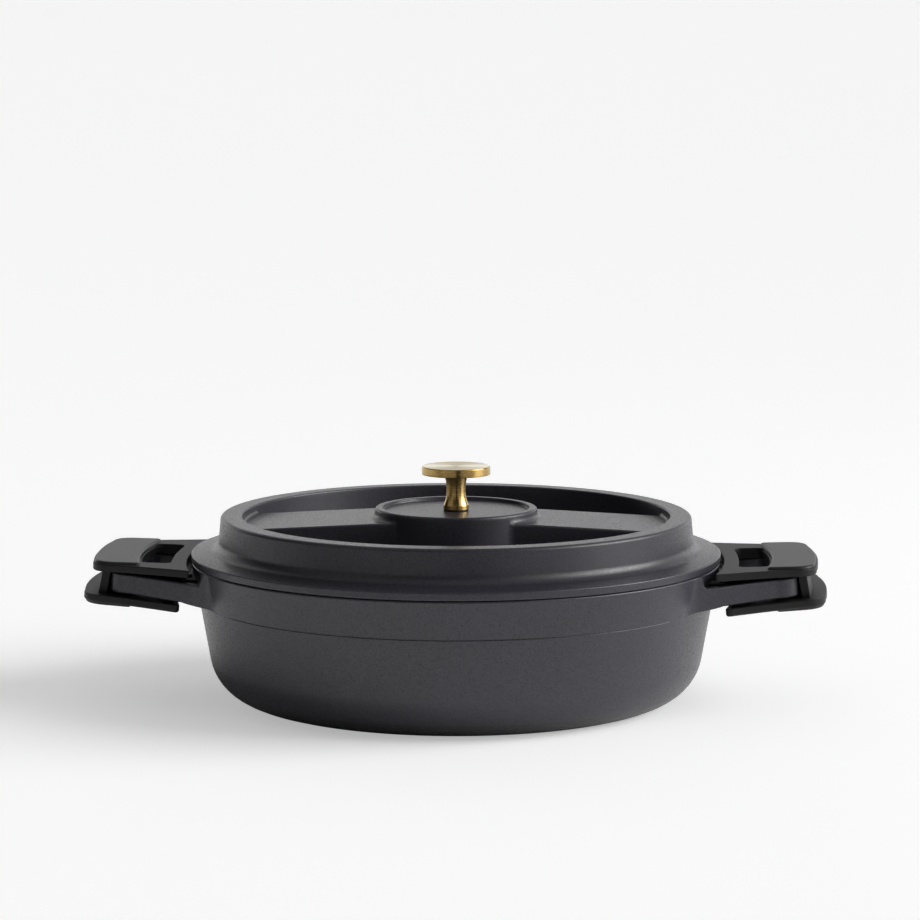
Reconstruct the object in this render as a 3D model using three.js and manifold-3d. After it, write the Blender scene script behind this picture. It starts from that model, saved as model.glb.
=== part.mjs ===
// A round, low roasting pan with a lid. The vessel and its two loop handles are one casting.
// The lid is a second casting with a raised ring, two wells, a cross bar and a pedestal,
// and it carries a two-piece brass knob held by a screw from below.
// A silicone grip slips over each loop handle.
// Millimetres, +Z up. The origin is the centre of the base, on the surface the pan stands on.

import * as THREE from "three";
import { mergeVertices } from "three/addons/utils/BufferGeometryUtils.js";
import Module from "manifold-3d";

const wasm = await Module();
wasm.setup();

// Vessel
const rimRadius = 147; // outside radius at the rim
const panHeight = 77.5; // base to rim
const wallDraftDeg = 10; // lean of the wall from the vertical
const wallThickness = 4.6;
const floorThickness = 6;
const baseCornerRadius = 28; // outside corner between base and wall
const floorCornerRadius = 22; // inside corner between floor and wall
const bandHeight = 20.8; // raised band below the rim
const bandStep = 0.6; // how far the band stands proud of the wall
const rimChamfer = 0.5;

// Steel disc let into the base
const discRadius = 98;
const discThickness = 1.2;
const discClearance = 0.3;

// Loop handles; a reach is measured outwards from the rim
const handleReach = 44.2; // outer end of the loop
const handleThickness = 10.8;
const handleDrop = 11.3; // from the rim's level down to the middle of the loop, at the rim
const handleTiltDeg = 4.6; // the loops rise outwards
const handleRootHalfWidth = 57; // at the rim
const handleTipHalfWidth = 45.4; // where the outer corner starts
const handleCornerReach = 29.5; // where the outer corner starts
const handleEndCrown = 3.2; // bulge of the outer end
const handleFlareDeg = 32; // place round the pan where the flare into the wall starts

// Finger slot through the grip; the slot in the loop is larger by a margin
const slotReach = 10; // side nearer the pan
const slotWidth = 18; // along the reach
const slotHalfLength = 33.5;
const slotCorner = 5;
const slotInnerCrown = 1.2; // bow of the side nearer the pan
const slotOuterCrown = 2.4; // bow of the outer side
const slotMargin = 1;

// Silicone grips
const jawThickness = 4.2;
const jawReach = 1.8; // end nearer the pan, at its middle
const jawBow = 6.8; // how far that end's corners stand back from its middle
const jawRootOverhang = 1.5; // past the side of the loop, at the rim
const jawTipOverhang = 1.1; // past the side of the loop, at its outer corner
const jawWaist = 1.8; // how far the sides draw in between root and tip
const jawEndOverhang = 4.8; // past the web
const jawEndCrown = 2.3; // bulge of the outer end
const jawCornerLength = 13; // outer corner, along the reach
const jawCornerDepth = 14.5; // outer corner, across the grip
const upperJawTiltDeg = 1.6;
const upperJawGap = 0.4; // above the outer end of the loop
const lowerJawGap = 1.7; // below the loop
const lowerJawShift = 4.5; // the lower jaw lies further out than the upper one
const padRise = 1.4; // thumb pad on the upper jaw and finger pad under the lower one
const padInset = 0.8; // from the edge of the jaw
const padBow = 4.5; // how far the corners of the pad's inner edge stand back from its middle
const webThickness = 4; // joins the jaws outside the loop
const webGap = 0.5; // between the web and the loop
const webWrap = 3.5; // how far the web wraps round the loop's outer corners, along the reach
const ribThickness = 4.5; // ribs that bear on the loop near the pan
const ribGap = 0.3;
const lowerRibSetback = 5; // lip of the lower jaw past its rib

// Lid
const lidGap = 0.3; // between the rim and the lid that rests on it
const lidThickness = 4;
const flangeEdge = 4.4; // height of the flange's outer edge
const flangeChamfer = 0.5;
const flangeFall = 1.8; // the flange slopes down outwards by this much
const ringSetback = 16.4; // from the rim to the ring's outer face, at its top
const ringWidth = 11.8;
const ringHeight = 20.2; // above the flange's edge
const ringDraft = 1.7; // how far each face of the ring leans out at its foot
const ringFoot = 7.5; // radius of the fillet at the foot of the ring
const ringEdge = 2; // rounding of the ring's outer edge
const ringLip = 1; // rounding of the ring's inner edge
const wellDepth = 19.4; // below the top of the ring
const lipDepth = 4.8; // locating lip below the flange
const lipThickness = 3.6;
const lipClearance = 0.8; // between the lip and the inside of the rim
const pedestalRadius = 45;
const pedestalRise = 3.9; // above the top of the ring
const pedestalRim = 4.4; // width of the raised rim
const pedestalEdge = 1.5; // rounding of the rim
const pedestalRecess = 2; // depth of the flat inside the rim
const barHalfWidth = 32.5;
const barDrop = 5.4; // from the pedestal's rim down to the bar
const barSlopeDeg = 3; // the bar falls away from the pedestal

// Knob and its fixing
const capRadius = 19.1;
const capThickness = 4.6;
const capEdge = 0.4;
const knobHeight = 24.3; // foot of the stem to the top of the cap
const stemFootRadius = 7.1;
const stemFootHeight = 2.4;
const stemWaistRadius = 5.2;
const stemTopRadius = 6.8;
const spigotRadius = 4; // top of the stem, inside the cap
const spigotHeight = 2;
const spigotClearance = 0.3;
const gasketThickness = 0.4;
const gasketRadius = 6.9;
const screwRadius = 2.85;
const screwGrip = 12; // length of the screw inside the stem
const screwEdge = 0.6; // chamfer of the screw's ends
const screwClearance = 0.35; // round the screw and past its tip
const headRadius = 5.4;
const headHeight = 3.6;
const socketRadius = 2.4; // hexagon socket, across corners
const socketDepth = 2;
const flatWasherRadius = 7;
const flatWasherThickness = 1.2;
const springWasherRadius = 5.4;
const springWasherThickness = 1.5;
const springWasherSplit = 1;
const seatGap = 0.1; // between the stacked parts of the knob

// Facets
const roundSteps = 72;
const smallSteps = 32;
const arcSteps = 6;
const edgeSteps = 3; // small roundings
const curveSteps = 6;
const overrun = 5; // how far a cutting shape runs past the faces that it cuts

const radians = THREE.MathUtils.degToRad;
const point = (x, y) => new THREE.Vector2(x, y);

// Radii and levels that several pieces share
const wallSlope = Math.tan(radians(wallDraftDeg));
const bandRadiusAt = (z) => rimRadius - (panHeight - z) * wallSlope;
const wallRadiusAt = (z) => bandRadiusAt(z) - bandStep;
const insideRadiusAt = (z) => wallRadiusAt(z) - wallThickness;
const handleLevel = panHeight - handleDrop;
const handleHalf = handleThickness / 2;
const slotOuterReach = slotReach + slotWidth;
const webReach = handleReach + webGap;
const jawRootHalfWidth = handleRootHalfWidth + jawRootOverhang;
const jawTipHalfWidth = handleTipHalfWidth + jawTipOverhang;
const jawOuterReach = webReach + webThickness + jawEndOverhang;
const flangeBase = panHeight + lidGap;
const flangeTop = flangeBase + flangeEdge;
const ringTop = flangeTop + ringHeight;
const ringOuterRadius = rimRadius - ringSetback;
const ringInnerRadius = ringOuterRadius - ringWidth;
const wellFloor = ringTop - wellDepth;
const pedestalTop = ringTop + pedestalRise;
const pedestalFlat = pedestalTop - pedestalRecess;
const pedestalCeiling = pedestalFlat - lidThickness;
const gasketBase = pedestalFlat + seatGap;
const stemFoot = gasketBase + gasketThickness + seatGap;
const knobTop = stemFoot + knobHeight;
const capBase = knobTop - capThickness;
const screwHole = screwRadius + screwClearance;
const screwTip = stemFoot + screwGrip;
const flatWasherBase = pedestalCeiling - seatGap - flatWasherThickness;
const springWasherBase = flatWasherBase - seatGap - springWasherThickness;
const headTop = springWasherBase - seatGap;

// A closed geometry as a solid that can be cut and joined.
function solidOf(geometry) {
  const bare = geometry.clone();
  bare.deleteAttribute("normal");
  bare.deleteAttribute("uv");
  const merged = mergeVertices(bare, 1e-4);
  const index = merged.index.array;
  const triangles = [];
  for (let i = 0; i < index.length; i += 3) {
    const [a, b, c] = index.slice(i, i + 3);
    if (a !== b && b !== c && c !== a) triangles.push(a, b, c);
  }
  const vertProperties = merged.attributes.position.array;
  const triVerts = new Uint32Array(triangles);
  return new wasm.Manifold(new wasm.Mesh({ numProp: 3, vertProperties, triVerts }));
}

// A solid as a geometry with flat facets.
function geometryOf(solid) {
  const { vertProperties, triVerts } = solid.getMesh();
  const geometry = new THREE.BufferGeometry();
  geometry.setAttribute("position", new THREE.BufferAttribute(vertProperties, 3));
  geometry.setIndex(new THREE.BufferAttribute(triVerts, 1));
  geometry.computeVertexNormals();
  return geometry;
}

// A profile of (radius, level) points, turned about the Z axis.
function turned(profile, steps = roundSteps) {
  return solidOf(new THREE.LatheGeometry(profile, steps).rotateX(Math.PI / 2));
}

function cylinder(radius, low, high, steps = smallSteps) {
  return turned([point(0, low), point(radius, low), point(radius, high), point(0, high)], steps);
}

function tube(inner, outer, low, high) {
  const start = point(inner, low);
  return turned([start, point(outer, low), point(outer, high), point(inner, high), start], smallSteps);
}

// An outline in plan, raised from one level to another.
function plate(outline, low, high) {
  const options = { depth: high - low, bevelEnabled: false, curveSegments: curveSteps };
  return solidOf(new THREE.ExtrudeGeometry(outline, options).translate(0, 0, low));
}

// Points along an arc, both ends included.
function arc(x, y, radius, startDeg, endDeg, steps = arcSteps) {
  const curve = new THREE.ArcCurve(x, y, radius, radians(startDeg), radians(endDeg), endDeg < startDeg);
  return curve.getPoints(steps);
}

// Tips a solid on the +X side up outwards, about a line at the rim's radius and the given level.
function tipped(solid, degrees, level) {
  const home = [rimRadius, 0, level];
  return solid.translate([-rimRadius, 0, -level]).rotate([0, -degrees, 0]).translate(home);
}

// Profile from the axis along a flat, round a corner and on to a leaning wall.
function bowlProfile(flatLevel, cornerRadius, radiusAt) {
  const cornerLevel = flatLevel + cornerRadius;
  const cornerCentre = radiusAt(cornerLevel) - cornerRadius / Math.cos(radians(wallDraftDeg));
  return [point(0, flatLevel), ...arc(cornerCentre, cornerLevel, cornerRadius, -90, -wallDraftDeg)];
}

// Plan of the loop handle on the +X side, with a flare that runs into the wall of the pan.
function handleOutline() {
  const flare = radians(handleFlareDeg);
  const flareX = bandRadiusAt(handleLevel) * Math.cos(flare);
  const flareY = bandRadiusAt(handleLevel) * Math.sin(flare);
  const bend = rimRadius + handleCornerReach;
  const end = rimRadius + handleReach;
  const endCorner = end - handleEndCrown;
  const shoulder = handleTipHalfWidth - (endCorner - bend);
  const taper = (handleRootHalfWidth - handleTipHalfWidth) / handleCornerReach;
  // The side of the loop meets the tangent of the wall here.
  const wallFall = 1 / Math.tan(flare);
  const meetX = (flareY + wallFall * flareX - handleTipHalfWidth - bend * taper) / (wallFall - taper);
  const meetY = handleTipHalfWidth + (bend - meetX) * taper;
  const shape = new THREE.Shape();
  shape.moveTo(flareX - wallThickness, flareY);
  shape.lineTo(flareX - wallThickness, -flareY);
  shape.lineTo(flareX, -flareY);
  shape.quadraticCurveTo(meetX, -meetY, rimRadius, -handleRootHalfWidth);
  shape.lineTo(bend, -handleTipHalfWidth);
  shape.quadraticCurveTo(endCorner, -handleTipHalfWidth, endCorner, -shoulder);
  shape.quadraticCurveTo(end + handleEndCrown, 0, endCorner, shoulder);
  shape.quadraticCurveTo(endCorner, handleTipHalfWidth, bend, handleTipHalfWidth);
  shape.lineTo(rimRadius, handleRootHalfWidth);
  shape.quadraticCurveTo(meetX, meetY, flareX, flareY);
  shape.closePath();
  return shape;
}

// Plan of the finger slot on the +X side, widened all round by a margin.
function slotOutline(margin) {
  const inner = rimRadius + slotReach - margin;
  const outer = rimRadius + slotOuterReach + margin;
  const half = slotHalfLength + margin;
  const straight = half - slotCorner;
  const innerCorner = inner - slotInnerCrown;
  const outerCorner = outer - slotOuterCrown;
  const shape = new THREE.Shape();
  shape.moveTo(innerCorner + slotCorner, half);
  shape.quadraticCurveTo(innerCorner, half, innerCorner, straight);
  shape.quadraticCurveTo(inner + slotInnerCrown, 0, innerCorner, -straight);
  shape.quadraticCurveTo(innerCorner, -half, innerCorner + slotCorner, -half);
  shape.lineTo(outerCorner - slotCorner, -half);
  shape.quadraticCurveTo(outerCorner, -half, outerCorner, -straight);
  shape.quadraticCurveTo(outer + slotOuterCrown, 0, outerCorner, straight);
  shape.quadraticCurveTo(outerCorner, half, outerCorner - slotCorner, half);
  shape.closePath();
  return shape;
}

// The vessel: a bowl with a band below its rim, a seat for the disc, and two loop handles.
function panBody() {
  const bandBase = panHeight - bandHeight;
  const outside = turned([
    ...bowlProfile(0, baseCornerRadius, wallRadiusAt),
    point(wallRadiusAt(bandBase), bandBase),
    point(bandRadiusAt(bandBase), bandBase),
    point(bandRadiusAt(panHeight - rimChamfer), panHeight - rimChamfer),
    point(rimRadius - rimChamfer, panHeight),
    point(0, panHeight),
  ]);
  const inside = turned([
    ...bowlProfile(floorThickness, floorCornerRadius, insideRadiusAt),
    point(insideRadiusAt(panHeight + overrun), panHeight + overrun),
    point(0, panHeight + overrun),
  ]);
  const low = handleLevel - handleHalf;
  const high = handleLevel + handleHalf;
  const loop = plate(handleOutline(), low, high);
  const slot = plate(slotOutline(slotMargin), low - overrun, high + overrun);
  const handle = tipped(loop.subtract(slot), handleTiltDeg, handleLevel);
  const handles = handle.add(handle.rotate([0, 0, 180]));
  const discSeat = cylinder(discRadius + discClearance, -overrun, discThickness + discClearance, roundSteps);
  return outside.add(handles).subtract(inside).subtract(discSeat);
}

function baseDisc() {
  return cylinder(discRadius, 0, discThickness, roundSteps);
}

// Plan of a jaw, or of a pad on it: a bowed end near the pan, drawn-in sides and a rounded outer end.
function jawOutline({ reach, bow, rootHalfWidth, waist, outerReach, inset }) {
  const inner = rimRadius + reach + inset;
  const outer = rimRadius + outerReach - inset;
  const root = rootHalfWidth - inset;
  const tip = jawTipHalfWidth - inset;
  const innerCorner = inner - bow;
  const outerCorner = outer - jawEndCrown;
  const bend = outerCorner - jawCornerLength;
  const shoulder = tip - jawCornerDepth;
  const sideX = (innerCorner + bend) / 2;
  const sideY = (root + tip) / 2 - waist;
  const shape = new THREE.Shape();
  shape.moveTo(innerCorner, root);
  shape.quadraticCurveTo(inner + bow, 0, innerCorner, -root);
  shape.quadraticCurveTo(sideX, -sideY, bend, -tip);
  shape.quadraticCurveTo(outerCorner, -tip, outerCorner, -shoulder);
  shape.quadraticCurveTo(outer + jawEndCrown, 0, outerCorner, shoulder);
  shape.quadraticCurveTo(outerCorner, tip, bend, tip);
  shape.quadraticCurveTo(sideX, sideY, innerCorner, root);
  return shape;
}

function jawPlan(shift) {
  return jawOutline({
    reach: jawReach + shift,
    bow: jawBow,
    rootHalfWidth: jawRootHalfWidth,
    waist: jawWaist,
    outerReach: jawOuterReach + shift,
    inset: 0,
  });
}

function padPlan(shift) {
  return jawOutline({
    reach: slotOuterReach - padInset,
    bow: padBow,
    rootHalfWidth: jawTipHalfWidth,
    waist: 0,
    outerReach: jawOuterReach + shift,
    inset: padInset,
  });
}

// A rib under or over a jaw, along its end near the pan.
function rib(shift, setback, low, high) {
  const jaw = plate(jawPlan(shift), low, high);
  const front = jaw.translate([setback, 0, 0]);
  return jaw.intersect(front).subtract(front.translate([ribThickness, 0, 0]));
}

// A grip for the +X handle: two jaws, a web outside the loop, pads and ribs, and the finger slot.
function grip() {
  const loopTop = handleLevel + handleHalf;
  const loopBase = handleLevel - handleHalf;
  const upperRise = Math.tan(radians(handleTiltDeg)) - Math.tan(radians(upperJawTiltDeg));
  const upperBase = loopTop + upperJawGap + handleReach * upperRise;
  const upperTop = upperBase + jawThickness;
  const upperMiddle = upperBase + jawThickness / 2;
  const lowerTop = loopBase - lowerJawGap;
  const lowerBase = lowerTop - jawThickness;
  const lowerMiddle = lowerTop - jawThickness / 2;

  const upperJaw = plate(jawPlan(0), upperBase, upperTop);
  const thumbPad = plate(padPlan(0), upperMiddle, upperTop + padRise);
  const upper = tipped(upperJaw.add(thumbPad), upperJawTiltDeg, upperBase);

  const lowerJaw = plate(jawPlan(lowerJawShift), lowerBase, lowerTop);
  const fingerPad = plate(padPlan(lowerJawShift), lowerBase - padRise, lowerMiddle);
  const upperRib = rib(0, 0, loopTop + ribGap, upperMiddle);
  const lowerRib = rib(lowerJawShift, lowerRibSetback, lowerMiddle, loopBase - ribGap);
  const webTop = loopTop + upperJawGap + jawThickness / 2;
  const webOuter = plate(jawPlan(-jawEndOverhang), lowerMiddle, webTop);
  const webInner = webOuter.translate([-webThickness, 0, 0]);
  const beside = new THREE.BoxGeometry(2 * (webReach - webWrap), 3 * jawRootHalfWidth, 4 * panHeight);
  const web = webOuter.subtract(webInner).subtract(solidOf(beside.translate(rimRadius, 0, 0)));
  const lower = tipped(lowerJaw.add(fingerPad).add(lowerRib).add(upperRib).add(web), handleTiltDeg, handleLevel);

  const slot = plate(slotOutline(0), lowerBase - padRise - overrun, upperTop + padRise + overrun);
  return upper.add(lower).subtract(slot);
}

// The bar across the lid as a solid, drawn in by an inset so that it also serves as its own hollow.
function bar(inset, low, radius) {
  const half = barHalfWidth - inset;
  const crest = pedestalTop - barDrop - inset;
  const end = crest - (radius - pedestalRadius) * Math.tan(radians(barSlopeDeg));
  const side = new THREE.Shape();
  side.moveTo(-radius, low);
  side.lineTo(radius, low);
  side.lineTo(radius, end);
  side.lineTo(pedestalRadius, crest);
  side.lineTo(-pedestalRadius, crest);
  side.lineTo(-radius, end);
  side.closePath();
  const options = { depth: 2 * half, bevelEnabled: false };
  const block = new THREE.ExtrudeGeometry(side, options).rotateX(Math.PI / 2).translate(0, half, 0);
  return solidOf(block).intersect(cylinder(radius, low, pedestalTop, roundSteps));
}

// The lid: a flange on the rim, a lip inside it, a hollow ring, the well floor, bar and pedestal.
function lid() {
  const lipRadius = insideRadiusAt(flangeBase - lipDepth) - lipClearance;
  const wellBase = wellFloor - lidThickness;
  const flangeInner = flangeTop + flangeFall;
  const ringFootRadius = ringOuterRadius + ringDraft;
  const ringCeiling = ringTop - lidThickness;
  const shell = turned([
    point(0, wellBase),
    point(ringInnerRadius + lidThickness - ringDraft, wellBase),
    point(ringInnerRadius + lidThickness, ringCeiling),
    point(ringOuterRadius - lidThickness, ringCeiling),
    point(ringFootRadius - lidThickness, wellBase),
    point(lipRadius - lipThickness, wellBase),
    point(lipRadius - lipThickness, flangeBase - lipDepth),
    point(lipRadius, flangeBase - lipDepth),
    point(lipRadius, flangeBase),
    point(rimRadius - flangeChamfer, flangeBase),
    point(rimRadius, flangeBase + flangeChamfer),
    point(rimRadius, flangeTop - flangeChamfer),
    point(rimRadius - flangeChamfer, flangeTop),
    ...arc(ringFootRadius + ringFoot, flangeInner + ringFoot, ringFoot, 270, 180),
    ...arc(ringOuterRadius - ringEdge, ringTop - ringEdge, ringEdge, 0, 90, edgeSteps),
    ...arc(ringInnerRadius + ringLip, ringTop - ringLip, ringLip, 90, 180, edgeSteps),
    point(ringInnerRadius - ringDraft, wellFloor),
    point(0, wellFloor),
  ]);
  const pedestal = turned([
    point(0, wellBase),
    point(pedestalRadius, wellBase),
    ...arc(pedestalRadius - pedestalEdge, pedestalTop - pedestalEdge, pedestalEdge, 0, 90, edgeSteps),
    point(pedestalRadius - pedestalRim, pedestalTop),
    point(pedestalRadius - pedestalRim, pedestalFlat),
    point(0, pedestalFlat),
  ]);
  const crossBar = bar(0, wellBase, ringInnerRadius + ringLip);
  const barHollow = bar(lidThickness, wellBase - overrun, ringInnerRadius - ringDraft - lidThickness);
  const pedestalHollow = cylinder(pedestalRadius - pedestalRim, wellBase - overrun, pedestalCeiling, roundSteps);
  const hole = cylinder(screwHole, wellBase - overrun, pedestalTop + overrun);
  const hollows = barHollow.add(pedestalHollow).add(hole);
  return shell.add(pedestal).add(crossBar).subtract(hollows);
}

function knobCap() {
  const boreRadius = spigotRadius + spigotClearance;
  const boreTop = capBase + spigotHeight + spigotClearance;
  return turned(
    [
      point(0, boreTop),
      point(boreRadius, boreTop),
      point(boreRadius, capBase),
      point(capRadius - capEdge, capBase),
      point(capRadius, capBase + capEdge),
      point(capRadius, knobTop - capEdge),
      point(capRadius - capEdge, knobTop),
      point(0, knobTop),
    ],
    smallSteps * 2,
  );
}

function knobStem() {
  const boreTop = screwTip + screwClearance;
  const collarTop = stemFoot + stemFootHeight;
  const stemTop = capBase - seatGap;
  const waist = new THREE.SplineCurve([
    point(stemFootRadius, collarTop),
    point(stemWaistRadius, (collarTop + stemTop) / 2),
    point(stemTopRadius, stemTop),
  ]);
  return turned(
    [
      point(0, boreTop),
      point(screwHole, boreTop),
      point(screwHole, stemFoot),
      point(stemFootRadius, stemFoot),
      ...waist.getPoints(curveSteps),
      point(spigotRadius, stemTop),
      point(spigotRadius, capBase + spigotHeight),
      point(0, capBase + spigotHeight),
    ],
    smallSteps,
  );
}

function knobGasket() {
  return tube(screwHole, gasketRadius, gasketBase, gasketBase + gasketThickness);
}

function knobFlatWasher() {
  return tube(screwHole, flatWasherRadius, flatWasherBase, flatWasherBase + flatWasherThickness);
}

function knobSpringWasher() {
  const ring = tube(screwHole, springWasherRadius, springWasherBase, springWasherBase + springWasherThickness);
  const split = new THREE.BoxGeometry(springWasherRadius + overrun, springWasherSplit, knobHeight);
  return ring.subtract(solidOf(split.translate((springWasherRadius + overrun) / 2, 0, springWasherBase)));
}

function knobScrew() {
  const headBase = headTop - headHeight;
  const body = turned(
    [
      point(0, headBase),
      point(headRadius - screwEdge, headBase),
      point(headRadius, headBase + screwEdge),
      point(headRadius, headTop),
      point(screwRadius, headTop),
      point(screwRadius, screwTip - screwEdge),
      point(screwRadius - screwEdge, screwTip),
      point(0, screwTip),
    ],
    smallSteps,
  );
  return body.subtract(cylinder(socketRadius, headBase - overrun, headBase + socketDepth, 6));
}

const finish = (color, roughness, metalness) =>
  new THREE.MeshStandardMaterial({ color, roughness, metalness });
const castCoating = () => finish(0x424146, 0.5, 0.3);
const brass = () => finish(0xb8923f, 0.28, 1);
const silicone = () => finish(0x2a2a2c, 0.75, 0);
const steel = () => finish(0xa9abad, 0.35, 1);

function named(name, solid, material) {
  const mesh = new THREE.Mesh(geometryOf(solid), material);
  mesh.name = name;
  return mesh;
}

const pan = new THREE.Group();
pan.add(named("pan_body", panBody(), castCoating()));
pan.add(named("base_disc", baseDisc(), steel()));

const cover = new THREE.Group();
cover.add(named("lid", lid(), castCoating()));
cover.add(named("knob_cap", knobCap(), brass()));
cover.add(named("knob_stem", knobStem(), brass()));
cover.add(named("knob_gasket", knobGasket(), silicone()));
cover.add(named("knob_flat_washer", knobFlatWasher(), steel()));
cover.add(named("knob_spring_washer", knobSpringWasher(), steel()));
cover.add(named("knob_screw", knobScrew(), steel()));

const rightSide = new THREE.Group();
rightSide.add(named("grip_right", grip(), silicone()));

const leftSide = new THREE.Group();
leftSide.rotation.z = Math.PI;
leftSide.add(named("grip_left", grip(), silicone()));

const roastingPan = new THREE.Group();
roastingPan.add(pan, cover, rightSide, leftSide);

export default roastingPan;
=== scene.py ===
import math
import bmesh
import bpy
import numpy as np
from mathutils import Matrix, Vector
from mathutils.geometry import delaunay_2d_cdt


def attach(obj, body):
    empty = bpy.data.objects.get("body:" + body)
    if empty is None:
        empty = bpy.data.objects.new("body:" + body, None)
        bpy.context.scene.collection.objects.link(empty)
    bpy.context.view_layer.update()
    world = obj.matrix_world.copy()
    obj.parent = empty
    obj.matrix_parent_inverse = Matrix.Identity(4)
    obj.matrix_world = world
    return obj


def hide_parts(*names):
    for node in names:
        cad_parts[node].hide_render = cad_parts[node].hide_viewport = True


# A round lidded roasting pan. Sizes below are in mm in the CAD frame; meshes are in metres.
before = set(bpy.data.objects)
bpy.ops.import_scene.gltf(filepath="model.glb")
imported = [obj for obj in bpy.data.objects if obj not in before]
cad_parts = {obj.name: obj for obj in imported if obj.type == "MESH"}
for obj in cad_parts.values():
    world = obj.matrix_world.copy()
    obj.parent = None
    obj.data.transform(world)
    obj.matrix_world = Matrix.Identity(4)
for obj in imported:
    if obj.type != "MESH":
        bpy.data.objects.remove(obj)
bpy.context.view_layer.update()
mm = 0.001
print("frame loaded,", len(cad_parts), "nodes")


def newObject(name, data):
    made = bpy.data.objects.new(name, data)
    bpy.context.scene.collection.objects.link(made)
    return made


# camera: solved from the photograph's ellipses, square frame
photoCamera = {"place": (0.08348, -1.83255, 0.36481), "turnDeg": (82.78, 0.0, 2.54), "lens": 130.39,
               "sensor": 36}
cameraData = bpy.data.cameras.new("photoCamera")
cameraData.lens = photoCamera["lens"]
cameraData.sensor_width = photoCamera["sensor"]
camera = newObject("photoCamera", cameraData)
camera.location = photoCamera["place"]
camera.rotation_euler = [math.radians(a) for a in photoCamera["turnDeg"]]
bpy.context.scene.camera = camera
# a white product shot keeps its plain tone curve
bpy.context.scene.view_settings.view_transform = "Standard"


# materials
def linear(code):  # sRGB hex to the linear colour that a shader takes
    parts = [int(code[i:i + 2], 16) / 255 for i in (1, 3, 5)]
    return [c / 12.92 if c <= 0.04045 else ((c + 0.055) / 1.055) ** 2.4 for c in parts] + [1.0]


def addNode(tree, kind, settings=None, inputs=None):
    node = tree.nodes.new(kind)
    for key, value in (settings or {}).items():
        setattr(node, key, value)
    for key, value in (inputs or {}).items():
        if isinstance(value, bpy.types.NodeSocket):
            tree.links.new(value, node.inputs[key])
        else:
            node.inputs[key].default_value = value
    return node


def startMaterial(name):
    material = bpy.data.materials.new(name)
    material.use_nodes = True
    material.node_tree.nodes.clear()
    return material, material.node_tree


# the shader, with its constants and with what feeds it
def endMaterial(tree, sockets):
    shader = addNode(tree, "ShaderNodeBsdfPrincipled", None, sockets)
    addNode(tree, "ShaderNodeOutputMaterial", None, {"Surface": shader.outputs["BSDF"]})


# amount blends both colours, fine shifts the roughness over a range, height stands up by depth mm
def endPattern(tree, s, amount, fine, fineRange, roughRange, height, depth, sockets):
    colour = addNode(tree, "ShaderNodeMix", {"data_type": "RGBA"},
                     {0: amount, 6: linear(s["low"]), 7: linear(s["high"])})
    rough = addNode(tree, "ShaderNodeMapRange", None, {
        "Value": fine, "From Min": fineRange[0], "From Max": fineRange[1],
        "To Min": s["rough"] + roughRange[0], "To Max": s["rough"] + roughRange[1]})
    bump = addNode(tree, "ShaderNodeBump", None,
                   {"Height": height, "Strength": s["bump"], "Distance": depth * mm})
    endMaterial(tree, {"Base Color": colour.outputs[2], "Roughness": rough.outputs["Result"],
                       "Normal": bump.outputs["Normal"], **sockets})


def perMm(size):  # noise scale for a grain of that many mm
    return 1 / (size * mm)


# cast aluminium, sprayed non-stick: a grey ground with metallic flakes that glint and a peel like
# an orange's that breaks up highlights; in mm, the flakes drawn coarser than real so that they show
coating = {"low": "#17161b", "high": "#3d3c47", "grain": 0.9, "peel": 0.7, "cloud": 45, "gloss": 0.6,
           "rough": 0.38, "sparkle": 0.14, "bump": 0.2}
inside = {"low": "#222224", "high": "#313134", "grain": 0.6, "peel": 1.6, "cloud": 60, "gloss": 0.5,
          "rough": 0.32, "sparkle": 0.08, "bump": 0.12}
mottle, peelDepth = 0.05, 0.06  # share of colour that clouds over, and mm that the peel stands up


def sprayedCoating(name, s):
    material, tree = startMaterial(name)
    place = addNode(tree, "ShaderNodeTexCoord").outputs["Object"]
    flakes, cloud, peel = (
        addNode(tree, "ShaderNodeTexNoise", None, {
            "Vector": place, "Scale": perMm(s[size]), "Detail": detail,
            "Roughness": rough}).outputs["Fac"]
        for size, detail, rough in (("grain", 2.0, 0.7), ("cloud", 3.0, 0.5), ("peel", 2.0, 0.5)))
    spread = addNode(tree, "ShaderNodeMapRange", None,
                     {"Value": flakes, "From Min": 0.3, "From Max": 0.75})
    shade = addNode(tree, "ShaderNodeMapRange", None, {
        "Value": cloud, "From Min": 0.3, "From Max": 0.7, "To Min": -mottle, "To Max": mottle})
    amount = addNode(tree, "ShaderNodeMath", {"operation": "ADD", "use_clamp": True},
                     {0: spread.outputs["Result"], 1: shade.outputs["Result"]}).outputs[0]
    endPattern(tree, s, amount, flakes, (0.3, 0.7), (s["sparkle"], -s["sparkle"]), peel, peelDepth,
               {"Metallic": 0.0, "Specular IOR Level": s["gloss"]})
    return material


# turned metal: tool lines run round the axis and draw the light out across them; on the knob they
# stay finer than a pixel and only soften its shine, elsewhere they are drawn coarser to show
# edge is the tone left at a glancing view, where a satin face scatters
brass = {"low": "#d0a95f", "high": "#e6c482", "line": 0.12, "rough": 0.24, "stretch": 0.85,
         "lacquer": 0.2, "edge": "#d4e0e8", "bump": 0.2}
discSteel = {"low": "#8b8c8e", "high": "#b4b5b7", "line": 0.5, "rough": 0.34, "stretch": 0.5,
             "lacquer": 0.0, "edge": "#ffffff", "bump": 0.2}
screwSteel = {"low": "#a3a4a6", "high": "#c6c7c9", "line": 0.2, "rough": 0.25, "stretch": 0.2,
              "lacquer": 0.0, "edge": "#ffffff", "bump": 0.2}
studMetal = {"low": "#a9a9ab", "high": "#c2c2c4", "line": 0.5, "rough": 0.4, "stretch": 0.2,
             "lacquer": 0.0, "edge": "#ffffff", "bump": 0.2}
lineDepth = 0.02  # mm


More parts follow.
